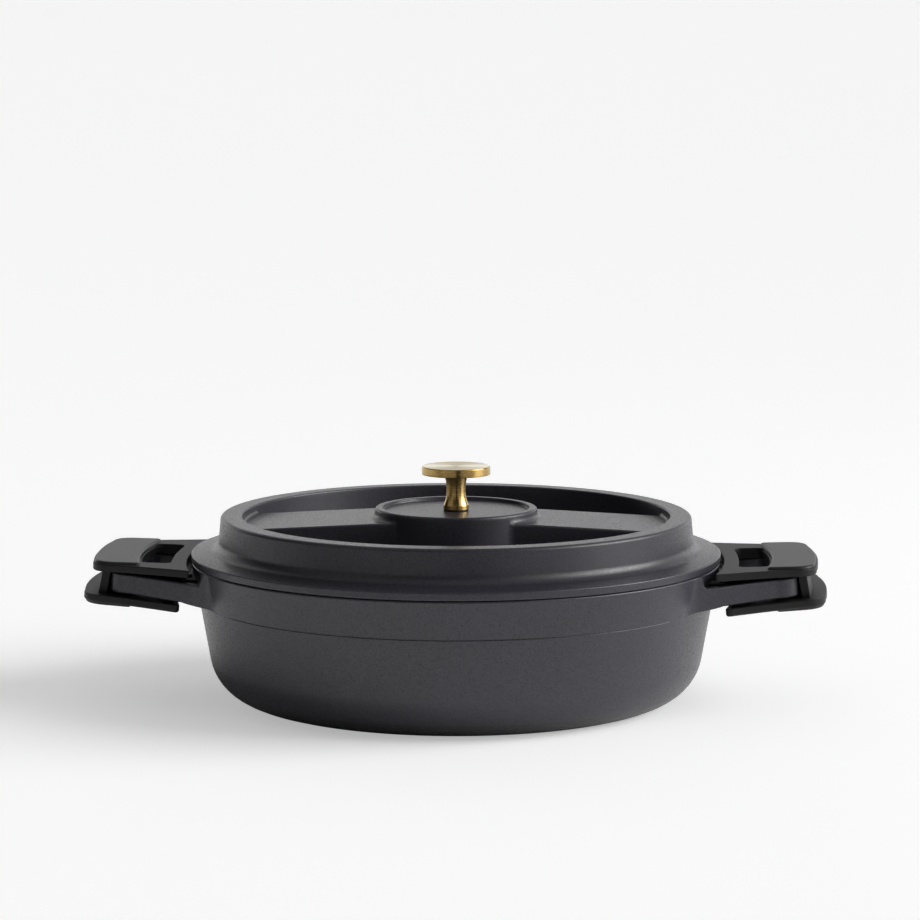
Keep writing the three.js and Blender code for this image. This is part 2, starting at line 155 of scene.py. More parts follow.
def turnedMetal(name, s):
    material, tree = startMaterial(name)
    place = addNode(tree, "ShaderNodeTexCoord").outputs["Object"]
    split = addNode(tree, "ShaderNodeSeparateXYZ", None, {"Vector": place})
    flat = addNode(tree, "ShaderNodeVectorMath", {"operation": "MULTIPLY"},
                   {0: place, 1: (1, 1, 0)})
    radius = addNode(tree, "ShaderNodeVectorMath", {"operation": "LENGTH"},
                     {0: flat.outputs["Vector"]})
    along = addNode(tree, "ShaderNodeCombineXYZ", None,
                    {"X": radius.outputs["Value"], "Z": split.outputs["Z"]})
    lines = addNode(tree, "ShaderNodeTexNoise", None, {
        "Vector": along.outputs["Vector"], "Scale": perMm(s["line"]), "Detail": 2.0}).outputs["Fac"]
    tangent = addNode(tree, "ShaderNodeTangent", {"direction_type": "RADIAL", "axis": "Z"})
    endPattern(tree, s, lines, lines, (0.0, 1.0), (-0.06, 0.08), lines, lineDepth, {
        "Metallic": 1.0, "Anisotropic": s["stretch"], "Anisotropic Rotation": 0.25,
        "Coat Weight": s["lacquer"], "Coat Roughness": 0.12, "Specular Tint": linear(s["edge"]),
        "Tangent": tangent.outputs["Tangent"]})
    return material


# silicone rubber, compression moulded: matte black, with the even grain of a spark-eroded mould
# that spreads highlights, drawn coarser than real so that it shows
plateRubber = {"low": "#0b0b0c", "high": "#151516", "grain": 0.55, "gloss": 0.45, "rough": 0.52,
               "bump": 0.3}
padRubber = {"low": "#181819", "high": "#232324", "grain": 0.35, "gloss": 0.5, "rough": 0.44,
             "bump": 0.12}
gasketRubber = {"low": "#101011", "high": "#18181a", "grain": 0.4, "gloss": 0.5, "rough": 0.6,
                "bump": 0.1}
dustPatch, dustShare, grainDepth = 14, 0.4, 0.1  # mm across, share of the colour, mm


def mouldedSilicone(name, s):
    material, tree = startMaterial(name)
    place = addNode(tree, "ShaderNodeTexCoord").outputs["Object"]
    grain, dust = (
        addNode(tree, "ShaderNodeTexNoise", None, {
            "Vector": place, "Scale": perMm(size), "Detail": detail,
            "Roughness": rough}).outputs["Fac"]
        for size, detail, rough in ((s["grain"], 2.0, 0.6), (dustPatch, 3.0, 0.5)))
    spread = addNode(tree, "ShaderNodeMath", {"operation": "MULTIPLY_ADD", "use_clamp": True},
                     {0: dust, 1: dustShare, 2: grain}).outputs[0]
    endPattern(tree, s, spread, grain, (0.0, 1.0), (-0.06, 0.06), grain, grainDepth,
               {"Metallic": 0.0, "IOR": 1.41, "Specular IOR Level": s["gloss"]})
    return material


coatingFinish = sprayedCoating("castAluminiumSprayedNonStick", coating)
insideFinish = sprayedCoating("castAluminiumSmoothNonStick", inside)
brassFinish = turnedMetal("brassSatinTurned", brass)
discFinish = turnedMetal("magneticSteelTurned", discSteel)
screwFinish = turnedMetal("stainlessSteelBright", screwSteel)
studFinish = turnedMetal("aluminiumPressed", studMetal)
plateFinish = mouldedSilicone("siliconeMouldedGrained", plateRubber)
padFinish = mouldedSilicone("siliconeMouldedSmooth", padRubber)
gasketFinish = mouldedSilicone("siliconeDieCut", gasketRubber)
print("materials made")


# mesh making
# (x, y, radius) corners to points with rounded corners
def softened(corners, closed=False, turnStep=9.0):
    path = []
    count = len(corners)
    for i, (x, y, radius) in enumerate(corners):
        here = Vector((x, y))
        if radius <= 0 or (not closed and i in (0, count - 1)):
            path.append(here)
            continue
        back = (Vector(corners[i - 1][:2]) - here).normalized()
        ahead = (Vector(corners[(i + 1) % count][:2]) - here).normalized()
        half = back.angle(ahead) / 2
        centre = here + (back + ahead).normalized() * (radius / math.sin(half))
        first = here + back * (radius / math.tan(half)) - centre
        turn = math.pi - 2 * half
        steps = max(2, math.ceil(math.degrees(turn) / turnStep))
        way = 1 if back.x * ahead.y - back.y * ahead.x < 0 else -1
        path += [centre + Matrix.Rotation(way * turn * k / steps, 2) @ first
                 for k in range(steps + 1)]
    return path


def turnedRings(profile, steps, verts):  # rings of vertex numbers, one for each (radius, level)
    rings = []
    for radius, level in profile:
        if radius < 1e-6:
            rings.append([len(verts)] * steps)
            verts.append((0.0, 0.0, level))
        else:
            rings.append(list(range(len(verts), len(verts) + steps)))
            for k in range(steps):
                a = 2 * math.pi * k / steps
                verts.append((radius * math.cos(a), radius * math.sin(a), level))
    return rings


def bridged(rings):  # quads between neighbouring rings; triangles at a pole
    faces = []
    for low, high in zip(rings, rings[1:]):
        for k in range(len(low)):
            n = (k + 1) % len(low)
            corners = [low[k], low[n], high[n], high[k]]
            face = [c for j, c in enumerate(corners) if c not in corners[:j]]
            if len(face) > 2:
                faces.append(face)
    return faces


def newPiece(name, verts, faces, finish):
    mesh = bpy.data.meshes.new(name)
    mesh.from_pydata([(x * mm, y * mm, z * mm) for x, y, z in verts], [], faces)
    work = bmesh.new()
    work.from_mesh(mesh)
    bmesh.ops.remove_doubles(work, verts=work.verts, dist=1e-6)
    bmesh.ops.recalc_face_normals(work, faces=work.faces)
    work.to_mesh(mesh)
    work.free()
    mesh.materials.append(finish)
    return newObject(name, mesh)


def turnedPiece(name, profile, finish, steps=288):
    verts = []
    faces = bridged(turnedRings(profile, steps, verts))
    return newPiece(name, verts, faces, finish)


def evaluated(piece):  # modifiers made real
    bpy.context.view_layer.update()
    graph = bpy.context.evaluated_depsgraph_get()
    mesh = bpy.data.meshes.new_from_object(piece.evaluated_get(graph))
    piece.modifiers.clear()
    piece.data = mesh


def joined(piece, others, way="UNION"):  # one watertight skin from overlapping solids
    for other in others:
        step = piece.modifiers.new("join", "BOOLEAN")
        step.solver = "MANIFOLD"
        step.operation = way
        step.object = other
        step.material_mode = "TRANSFER"
        evaluated(piece)
        bpy.data.objects.remove(other)
    return piece


def finished(piece, sharpDeg=30.0):  # smooth rounds, flat flats
    piece.data.shade_smooth()
    piece.data.set_sharp_from_angle(angle=math.radians(sharpDeg))
    even = piece.modifiers.new("even", "WEIGHTED_NORMAL")
    even.keep_sharp = True
    evaluated(piece)
    return piece


def slope(degrees):
    return math.tan(math.radians(degrees))


def clamped(t):
    return min(1.0, max(0.0, t))


def eased(t):
    t = clamped(t)
    return t * t * (3 - 2 * t)


def turnOf(x, y):  # degrees away from the line through both handles
    return math.degrees(math.atan2(abs(y), abs(x)))


def bend(start, control, end, steps):  # points of a quadratic curve, its end left out
    a, b, c = Vector(start), Vector(control), Vector(end)
    return [a * (1 - t) ** 2 + b * (2 * t * (1 - t)) + c * t * t
            for t in (k / steps for k in range(steps))]


def bends(points, steps):  # such curves end to end: start, control, end, control, end
    return [p for k, count in enumerate(steps) for p in bend(*points[2 * k:2 * k + 3], count)]


def ringSection(inner, outer, low, high, innerEdge, outerEdge, turnStep=9.0):
    return softened([(inner, low, innerEdge), (outer, low, outerEdge), (outer, high, outerEdge),
                     (inner, high, innerEdge)], closed=True, turnStep=turnStep)


# rounds each sharp corner of a dense closed outline
def smoothCorners(loop, radius, cornerDeg=12.0):
    count, arcSteps = len(loop), 8
    ways = [(loop[(i + 1) % count] - loop[i]).normalized() for i in range(count)]
    sharp = [i for i in range(count) if math.degrees(ways[i - 1].angle(ways[i])) > cornerDeg]
    gone, arcs = set(), {}
    for i in sharp:
        reach = radius / math.tan((math.pi - ways[i - 1].angle(ways[i])) / 2)
        ends = []
        for step in (-1, 1):
            j, left = i, reach
            while True:
                n = (j + step) % count
                span = (loop[n] - loop[j]).length
                if span >= left:
                    ends.append(loop[j].lerp(loop[n], left / span))
                    break
                left -= span
                j = n
                gone.add(j)
        gone.add(i)
        arcs[i] = bend(ends[0], loop[i], ends[1], arcSteps) + [ends[1]]
    path = []
    for i in range(count):
        if i in arcs:
            path += arcs[i]
        elif i not in gone:
            path.append(loop[i])
    return path


def counterClockwise(loop):
    area = sum(a.x * b.y - b.x * a.y for a, b in zip(loop, loop[1:] + loop[:1]))
    return loop if area > 0 else loop[::-1]


def drawnIn(loop, distance):  # the outline moved to its left by a distance
    moved = []
    for i, here in enumerate(loop):
        one = (here - loop[i - 1]).normalized()
        two = (loop[(i + 1) % len(loop)] - here).normalized()
        a, b = Vector((-one.y, one.x)), Vector((-two.y, two.x))
        moved.append(here + (a + b) * (distance / (1 + a.dot(b))))
    return moved


# triangles between an outline, its holes and kept lines, as numbers into all the points
def filled(loops, rows=()):
    points, rounds, edges = [], [], []
    for loop in loops:
        numbers = list(range(len(points), len(points) + len(loop)))
        rounds.append(numbers[::-1] if rounds else numbers)
        points += loop
    for row in rows:
        edges += [(k, k + 1) for k in range(len(points), len(points) + len(row) - 1)]
        points += row
    out = delaunay_2d_cdt(points, edges, rounds, 0, 1e-7)
    back = [o[0] for o in out[3]]
    return [[back[v] for v in face] for face, inside in zip(out[2], out[5]) if list(inside) == [0]]


# a plate, its edges rounded, or filleted if below 0
def moulding(outer, holes, low, high, lowEdge, highEdge, topRows=()):
    loops = [counterClockwise(outer)] + [counterClockwise(h)[::-1] for h in holes]
    edgeSteps = 5
    quarter = [math.pi / 2 * k / edgeSteps for k in range(edgeSteps + 1)]
    rows = [(lowEdge * (1 - math.sin(a)), low + abs(lowEdge) * (1 - math.cos(a))) for a in quarter]
    rows += [(highEdge * (1 - math.cos(a)), high - highEdge * (1 - math.sin(a))) for a in quarter]
    verts, faces, firstRow, lastRow, caps = [], [], [], [], [[], []]
    for loop in loops:
        rings = []
        for inset, level in rows:
            flat = drawnIn(loop, inset)
            rings.append(list(range(len(verts), len(verts) + len(loop))))
            verts += [(p.x, p.y, level) for p in flat]
        faces += bridged(rings)
        firstRow += rings[0]
        lastRow += rings[-1]
        caps[0].append(drawnIn(loop, lowEdge))
        caps[1].append(drawnIn(loop, highEdge))
    for row in topRows:
        lastRow += list(range(len(verts), len(verts) + len(row)))
        verts += [(p.x, p.y, high) for p in row]
    faces += [[firstRow[v] for v in t][::-1] for t in filled(caps[0])]
    faces += [[lastRow[v] for v in t] for t in filled(caps[1], topRows)]
    return verts, faces


# tips a plate on the +X side up outwards, about a line at the rim
def tipped(verts, degrees, level, hinge):
    c, s = math.cos(math.radians(degrees)), math.sin(math.radians(degrees))
    return [(hinge + (x - hinge) * c - (z - level) * s, y,
             level + (x - hinge) * s + (z - level) * c) for x, y, z in verts]


# the vessel
pan = {"rim": 147.0, "height": 77.5, "draftDeg": 10.0, "wall": 4.6, "floor": 6.0,
       "baseCorner": 28.0, "floorCorner": 22.0, "bandHeight": 20.8, "bandStep": 0.6, "groove": 0.28,
       "grooveFoot": 0.5, "grooveHalf": 0.15, "grooveTop": 0.35, "grooveEndDeg": 36.0,
       "grooveFadeDeg": 4.0, "rimOuter": 0.9, "rimInner": 1.2, "discSeat": 98.3, "seatDepth": 1.5,
       "seatRounds": (0.2, 0.4), "grooveRounds": (0.25, 0.12, 0.3), "grooveReach": 1.0,
       "insideFrom": 2.5, "coatLap": 0.6}
loop = {"reach": 44.2, "thick": 10.8, "drop": 11.3, "tiltDeg": 4.6, "root": 57.0, "tip": 45.4,
        "corner": 29.5, "crown": 3.2, "rootFillet": 12.0, "edge": 1.1, "sink": 0.04, "buried": 0.8,
        "leanRun": 8.0, "blendDeg": (21.0, 27.6), "blendBase": 56.3, "rootTop": 77.2,
        "rootSetback": 0.75, "rootSink": 0.2, "stepReach": -11.0, "stepRun": 0.6,
        "stepSide": 50.0, "stepClear": 0.5, "backShare": 0.99}
slot = {"reach": 10.0, "width": 18.0, "half": 33.5, "corner": 5.0, "innerCrown": 1.2,
        "outerCrown": 2.4, "margin": 1.0}
lean = slope(pan["draftDeg"])
loopLevel = pan["height"] - loop["drop"]


def bandRadius(z):
    return pan["rim"] - (pan["height"] - z) * lean


def wallRadius(z):
    return bandRadius(z) - pan["bandStep"]


def innerRadius(z):
    return wallRadius(z) - pan["wall"]


def bowlProfile():
    band = pan["height"] - pan["bandHeight"]
    foot, top = band - pan["grooveFoot"], band + pan["grooveTop"]
    deep = wallRadius(band) - pan["groove"]
    seatFillet, seatEdge = pan["seatRounds"]
    footEdge, grooveFillet, topEdge = pan["grooveRounds"]
    return softened([
        (0, pan["seatDepth"], 0), (pan["discSeat"], pan["seatDepth"], seatFillet),
        (pan["discSeat"], 0, seatEdge), (wallRadius(0), 0, pan["baseCorner"]),
        (wallRadius(foot), foot, footEdge), (deep, band - pan["grooveHalf"], grooveFillet),
        (deep, band + pan["grooveHalf"], grooveFillet), (bandRadius(top), top, topEdge),
        (pan["rim"], pan["height"], pan["rimOuter"]),
        (innerRadius(pan["height"]), pan["height"], pan["rimInner"]),
        (innerRadius(pan["floor"]), pan["floor"], pan["floorCorner"]),
        (0, pan["floor"], 0)], turnStep=7)


def buriedRadius():  # the back of a loop ends inside the wall
    return bandRadius(loopLevel) - pan["wall"] * loop["buried"]


# in plan, the round between the band and the side of the loop, and the way that it faces
def rootFillet():
    size, radius = loop["rootFillet"], bandRadius(loopLevel) - loop["sink"]
    taper = (loop["root"] - loop["tip"]) / loop["corner"]
    along, outward = Vector((1, -taper)).normalized(), Vector((taper, 1)).normalized()
    start = Vector((pan["rim"], loop["root"])) + outward * size
    back = start.dot(along)
    reach = math.sqrt(back ** 2 - start.length_squared + (radius + size) ** 2)
    centre = start - along * (back - reach)
    first = centre.normalized()
    turn = first.angle_signed(outward)
    steps = 24
    ways = [Matrix.Rotation(-turn * k / steps, 2) @ first for k in range(steps + 1)]
    return [centre - way * size for way in ways], ways


def loopOutline():  # plan of the loop handle on the +X side
    fillet = rootFillet()[0]
    flare = math.atan2(fillet[0].y, fillet[0].x)
    bendX, tip = pan["rim"] + loop["corner"], loop["tip"]
    end = pan["rim"] + loop["reach"]
    endCorner = end - loop["crown"]
    shoulder = tip - (endCorner - bendX)
    buried, sideSteps, backSteps = buriedRadius(), 24, 40
    turns = [flare * loop["backShare"] * (1 - k / backSteps) for k in range(2 * backSteps + 1)]
    path = [Vector((buried * math.cos(a), buried * math.sin(a))) for a in turns]
    side = fillet + [fillet[-1].lerp(Vector((bendX, tip)), k / sideSteps)
                     for k in range(1, sideSteps)]
    path += [Vector((p.x, -p.y)) for p in side]
    path += bends([(bendX, -tip), (endCorner, -tip), (endCorner, -shoulder),
                   (end + loop["crown"], 0), (endCorner, shoulder), (endCorner, tip),
                   (bendX, tip)], (16, 32, 16))
    return path + [Vector((bendX, tip))] + side[::-1]


def slotOutline(margin, shift=0.0):
    inner = pan["rim"] + slot["reach"] - margin
    outer = pan["rim"] + slot["reach"] + slot["width"] + margin
    half = slot["half"] + margin
    straight = half - slot["corner"]
    a, b = inner - slot["innerCrown"], outer - slot["outerCrown"]
    c, d, middle = a + slot["corner"], b - slot["corner"], (a + b) / 2
    path = bends([(c, half), (a, half), (a, straight), (inner + slot["innerCrown"], 0),
                  (a, -straight), (a, -half), (c, -half), (middle, -half), (d, -half), (b, -half),
                  (b, -straight), (outer + slot["outerCrown"], 0), (b, straight), (b, half),
                  (d, half), (middle, half), (c, half)], (10, 28, 10, 4, 10, 28, 10, 4))
    return [p + Vector((shift, 0)) for p in path]


def stepRows(outline):  # lines along the step beside the root, kept inside the top of the loop
    lines, steps = 4, 20
    flank = sorted((p.x, p.y) for p in outline if p.y > loop["stepSide"] and p.x < pan["rim"])
    inside = buriedRadius() + loop["edge"]
    rows = []
    for k in range(lines + 1):
        x = pan["rim"] + loop["stepReach"] - loop["stepRun"] * k / lines
        first = math.sqrt(inside ** 2 - x ** 2) + loop["stepClear"]
        last = np.interp(x, *zip(*flank)) - 1.5 * loop["edge"]
        row = [Vector((x, first + (last - first) * j / steps)) for j in range(steps + 1)]
        rows += [row, [Vector((v.x, -v.y)) for v in row]]
    return rows


def loopHandle(name, side):
    half = loop["thick"] / 2
    outline = loopOutline()
    verts, faces = moulding(outline, [slotOutline(slot["margin"])], loopLevel - half,
                            loopLevel + half, loop["edge"], loop["edge"], stepRows(outline))
    rise = slope(loop["tiltDeg"])
    first, last = loop["blendDeg"]
    placed = []
    tilted = tipped(verts, loop["tiltDeg"], loopLevel, pan["rim"])
    for (plan, _, _), (x, y, z) in zip(verts, tilted):  # near the wall it leans as the wall does
        near = clamped((pan["rim"] + loop["leanRun"] - math.hypot(plan, y)) / loop["leanRun"])
        x += near * (plan - x)
        middle = loopLevel + (x - pan["rim"]) * rise
        raised = 0.0
        if z > middle:  # the root fillet runs up to the rim
            raised = eased((pan["rim"] + loop["stepReach"] - x) / loop["stepRun"])
            z += raised * (loop["rootTop"] - middle - half)
        else:  # and spreads down the band as it runs out
            spread = clamped((turnOf(x, y) - first) / (last - first))
            z -= spread * (middle - half - loop["blendBase"])
        radius = math.hypot(x, y)
        level = radius + (z - loopLevel) * lean * near
        inside = min(level, bandRadius(z) - loop["rootSink"])
        level += raised * loop["rootSetback"] * (inside - level)
        placed.append((side * x * level / radius, side * y * level / radius, z))
    return newPiece(name, placed, faces, coatingFinish)


# degrees round the pan where the shading is set, their step, the steps it is evened over,
# mm past the fillet below, above and behind, and cosines for a face's top and a face's own way
rootShade = {"table": (14.0, 41.0), "step": 0.1, "even": 15, "turns": (17, 38), "below": 0.5,
             "above": 0.2, "behind": 0.3, "flatTop": 0.8, "alike": 0.75}


def smoothRoots(piece):  # the shading runs on from the band into the root fillets without a seam
    points, ways = rootFillet()
    turns = np.arange(*rootShade["table"], rootShade["step"])
    places = [turnOf(*p) for p in points]
    facing = np.interp(turns, places[::-1], [turnOf(*w) for w in ways[::-1]])
    facing = np.where(turns > places[0], turns, facing)
    facing = np.convolve(facing, np.ones(rootShade["even"]) / rootShade["even"], "same")
    first, last = rootShade["turns"]
    low, high = loop["blendBase"] - rootShade["below"], loop["rootTop"] + rootShade["above"]
    mesh = piece.data
    normals = [Vector(n.vector) for n in mesh.corner_normals]
    for face in mesh.polygons:
        if abs(face.normal.z) > rootShade["flatTop"]:
            continue
        for corner in face.loop_indices:
            x, y, z = mesh.vertices[mesh.loops[corner].vertex_index].co / mm
            turn, inside = turnOf(x, y), bandRadius(z) - rootShade["behind"]
            if first < turn < last and low < z < high and math.hypot(x, y) > inside:
                way = math.radians(np.interp(turn, turns, facing))
                flat = Vector((math.copysign(math.cos(way), x), math.copysign(math.sin(way), y)))
                if flat.dot(face.normal.xy.normalized()) > rootShade["alike"]:
                    normals[corner].xy = flat * normals[corner].xy.length
    mesh.normals_split_custom_set(normals)


panPiece = turnedPiece("panCasting", bowlProfile(), coatingFinish)
for point in panPiece.data.vertices:  # the groove under the band runs out beside the loops
    x, y, z = point.co / mm
    radius = math.hypot(x, y)
    depth = wallRadius(z) - radius
    if 0 < depth < pan["grooveReach"] and z > pan["baseCorner"]:
        fade = eased((pan["grooveEndDeg"] - turnOf(x, y)) / pan["grooveFadeDeg"])
        grow = 1 + depth / radius * fade
        point.co.x, point.co.y = x * grow * mm, y * grow * mm
joined(panPiece, [loopHandle("loopRight", 1), loopHandle("loopLeft", -1)])
panPiece.data.materials.append(insideFinish)
for face in panPiece.data.polygons:  # the cooking surface has its own smoother coat
    x, y, z = face.center / mm
    if z > pan["insideFrom"] and math.hypot(x, y) < innerRadius(z) + pan["coatLap"]:
        face.material_index = 1
finished(panPiece, sharpDeg=20)
smoothRoots(panPiece)
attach(panPiece, "pan")
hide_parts("pan_body")
print("vessel made,", len(panPiece.data.polygons), "faces")


# the lid: a height over each point of the plan, with turned flange and ring
lid = {"thick": 4.0, "flangeBase": 77.8, "flangeEdge": 4.27, "flangeRound": 0.8,
       "ringOuter": 130.6, "ringInner": 118.8, "ringMiddle": 124.7, "ringTop": 102.4,
       "ringSpread": 1.55, "ringFoot": 6.0, "footLevel": 84.2, "ringEdge": 2.0, "ringLip": 1.0,
       "ringFillet": 2.0, "wellFloor": 83.0, "wellFillet": 2.5, "draft": 0.0875,
       "pedestal": 45.0, "pedestalTop": 106.3, "pedestalEdge": 1.5, "pedestalFlare": 3.0,
       "pedestalDraft": 0.05, "rimWidth": 4.4, "recess": 2.0, "recessEdge": 0.7,
       "recessDraft": 0.1, "barHalf": 32.5, "barCrest": 100.9, "barEdge": 1.5, "barDraft": 0.07,
       "barSlopeDeg": 3.0, "junction": 8.0, "hole": 3.2, "lipOuter": 140.2, "lipInner": 136.6,
       "lipBase": 73.0, "lipEdge": 0.8, "lipFillets": (0.5, 1.0), "underside": 79.0,
       "underEdge": 118.0, "hollowEnd": 113.0, "hollowEdge": 1.5, "hollowFillet": 1.2,
       "groove": (121.1, 128.3), "grooveRoof": (122.8, 126.6, 98.4), "grooveEdge": 0.8,
       "grooveFillet": 1.4}


# height at distance d past the edge of a raised form
def edgeProfile(d, top, floor, edge, fillet, draft):
    alpha = math.atan(draft)
    wallAtFillet = draft * (top - edge - floor - fillet)
    centre = wallAtFillet + fillet / math.cos(alpha)
    touch = centre - fillet * math.cos(alpha)
    rounded = top - edge + np.sqrt(np.maximum(edge ** 2 - (np.clip(d, -edge, 0) + edge) ** 2, 0))
    wall = top - edge - d / draft
    hollow = np.sqrt(np.maximum(fillet ** 2 - (np.clip(d, touch, centre) - centre) ** 2, 0))
    foot = np.where(d < centre, floor + fillet - hollow, floor)
    return np.where(d <= -edge, top, np.where(d <= 0, rounded, np.where(d < touch, wall, foot)))


def barTop(x):
    return lid["barCrest"] - np.maximum(np.abs(x) - lid["pedestal"], 0) * slope(lid["barSlopeDeg"])


def junctionCentre():  # of the fillet in plan between the bar and the pedestal
    cy = lid["barHalf"] + lid["junction"]
    return math.sqrt((lid["pedestal"] + lid["junction"]) ** 2 - cy ** 2), cy


def pastBar(x, y):  # distance past the side of the bar, which is filleted into the pedestal
    cx, cy = junctionCentre()
    ax, ay = np.abs(x), np.abs(y)
    fillet = lid["junction"] - np.hypot(ax - cx, ay - cy)
    fillet = np.where((ax < cx) & (ax * cy > ay * cx), fillet, np.inf)
    return np.minimum(ay - lid["barHalf"], fillet)


def lidTop(x, y):
    r = np.hypot(x, y)
    top, edge, bar, well = lid["pedestalTop"], lid["pedestalEdge"], barTop(x), lid["wellFloor"]
    inward, outward = lid["ringInner"] - r, r - lid["pedestal"]
    recess = edgeProfile(lid["pedestal"] - lid["rimWidth"] - r, top, top - lid["recess"],
                         lid["recessEdge"], lid["recessEdge"], lid["recessDraft"])
    recess = np.where(r < lid["pedestal"] - lid["rimWidth"] / 2, recess, top)
    onBar, inWell = (
        (edgeProfile(inward, lid["ringTop"], floor, lid["ringLip"], ringFillet, lid["draft"]),
         np.where(r < lid["pedestal"] - edge, recess,
                  edgeProfile(outward, top, floor, edge, flare, lid["pedestalDraft"])))
        for floor, ringFillet, flare in ((bar, lid["ringFillet"], lid["pedestalFlare"]),
                                         (well, lid["wellFillet"], lid["wellFillet"])))
    bar = edgeProfile(pastBar(x, y), np.maximum(*onBar), well, lid["barEdge"], lid["wellFillet"],
                      lid["barDraft"])
    return np.maximum(bar, np.maximum(*inWell))


def lidUnder(x, y):  # hollow under the bar and the pedestal
    r = np.hypot(x, y)
    base, ceiling = lid["wellFloor"] - lid["thick"], barTop(x) - lid["thick"]
    middle = lid["pedestalTop"] - lid["recess"] - lid["thick"]
    across, ends, middle = (
        edgeProfile(d, top, base, lid["hollowEdge"], lid["hollowFillet"], draft)
        for d, top, draft in (
            (np.abs(y) - (lid["barHalf"] - lid["thick"]), ceiling, lid["barDraft"]),
            (r - lid["hollowEnd"], ceiling, lid["barDraft"]),
            (r - (lid["pedestal"] - lid["rimWidth"]), middle, lid["pedestalDraft"])))
    return np.maximum(np.minimum(across, ends), middle)


def circleRow(radius, steps):  # a quarter circle, ends on the axes
    row = [Vector((radius * math.cos(a), radius * math.sin(a)))
           for a in (math.pi / 2 * k / steps for k in range(steps + 1))]
    row[-1].x = 0.0
    return row


def lineRow(y, inner, outer, steps=56):  # a row beside the bar's edge, closer spaced at its ends
    x0 = math.sqrt(max(inner ** 2 - y ** 2, 0))
    x1 = math.sqrt(outer ** 2 - y ** 2)
    xs = [x0 + (x1 - x0) * (0.5 - 0.5 * math.cos(math.pi * k / steps)) for k in range(steps + 1)]
    return [Vector((x, y)) for x in xs]


def junctionRow(d, steps=10):  # an arc beside the fillet between the bar and the pedestal
    cx, cy = junctionCentre()
    turn, radius = math.atan2(cx, cy) * 0.9, lid["junction"] - d  # ends short of the pedestal
    return [Vector((cx - radius * math.sin(a), cy - radius * math.cos(a)))
            for a in (turn * k / steps for k in range(steps + 1))]


def quarterField(rows, hole, heightAt):  # one quarter of the plan as triangles, with heights
    points, edges = [], []
    for row in rows:
        start = len(points)
        points += row
        edges += [(start + k, start + k + 1) for k in range(len(row) - 1)]
    for axis in (0, 1):
        onAxis = [k for k, p in enumerate(points) if p[1 - axis] < 1e-9]
        onAxis.sort(key=lambda k: points[k][axis])
        edges += list(zip(onAxis, onAxis[1:]))
    out = delaunay_2d_cdt(points, edges, [], 0, 1e-6)
    flat = np.array([(p.x, p.y) for p in out[0]])
    flat[np.abs(flat) < 1e-5] = 0
    heights = heightAt(flat[:, 0], flat[:, 1])
    faces = []
    for face in out[2]:
        a, b, c = (flat[v] for v in face)
        area = abs((b[0] - a[0]) * (c[1] - a[1]) - (b[1] - a[1]) * (c[0] - a[0])) / 2
        if area > 1e-7 and np.hypot(*((a + b + c) / 3)) > hole * 0.995:
            faces.append(list(face))
    return [(p[0], p[1], h) for p, h in zip(flat, heights)], faces


def fourQuarters(verts, faces):
    allVerts, allFaces = [], []
    for sx, sy in ((1, 1), (-1, 1), (-1, -1), (1, -1)):
        start = len(allVerts)
        allVerts += [(sx * x, sy * y, z) for x, y, z in verts]
        turn = 1 if sx * sy > 0 else -1
        allFaces += [[start + v for v in f][::turn] for f in faces]
    return allVerts, allFaces


# distances past an edge where the lid's mesh has its rows
ringSteps = (-1, -0.95, -0.8, -0.6, -0.35, -0.12, 0, 0.2, 0.45, 0.8, 1.2, 1.41, 1.6, 1.9, 2.2, 2.6,
             3.1, 3.5, 3.9)
columnSteps = (-1.5, -1.42, -1.2, -0.85, -0.45, -0.15, 0, 0.05, 0.3, 0.65, 1.02, 1.3, 1.7, 2.1, 2.6,
               3.05, 3.51)
barSteps = (-1.5, -1.42, -1.2, -0.85, -0.45, -0.15, 0, 0.25, 0.55, 0.92, 1.2, 1.6, 2.1, 2.7, 3.41)
recessSteps = (-0.7, -0.6, -0.4, -0.15, 0, 0.06, 0.2, 0.45, 0.76)
hollowSteps = (-1.5, -1.42, -1.2, -0.75, -0.3, 0, 0.6, 1.05, 1.3, 1.6, 2.3)


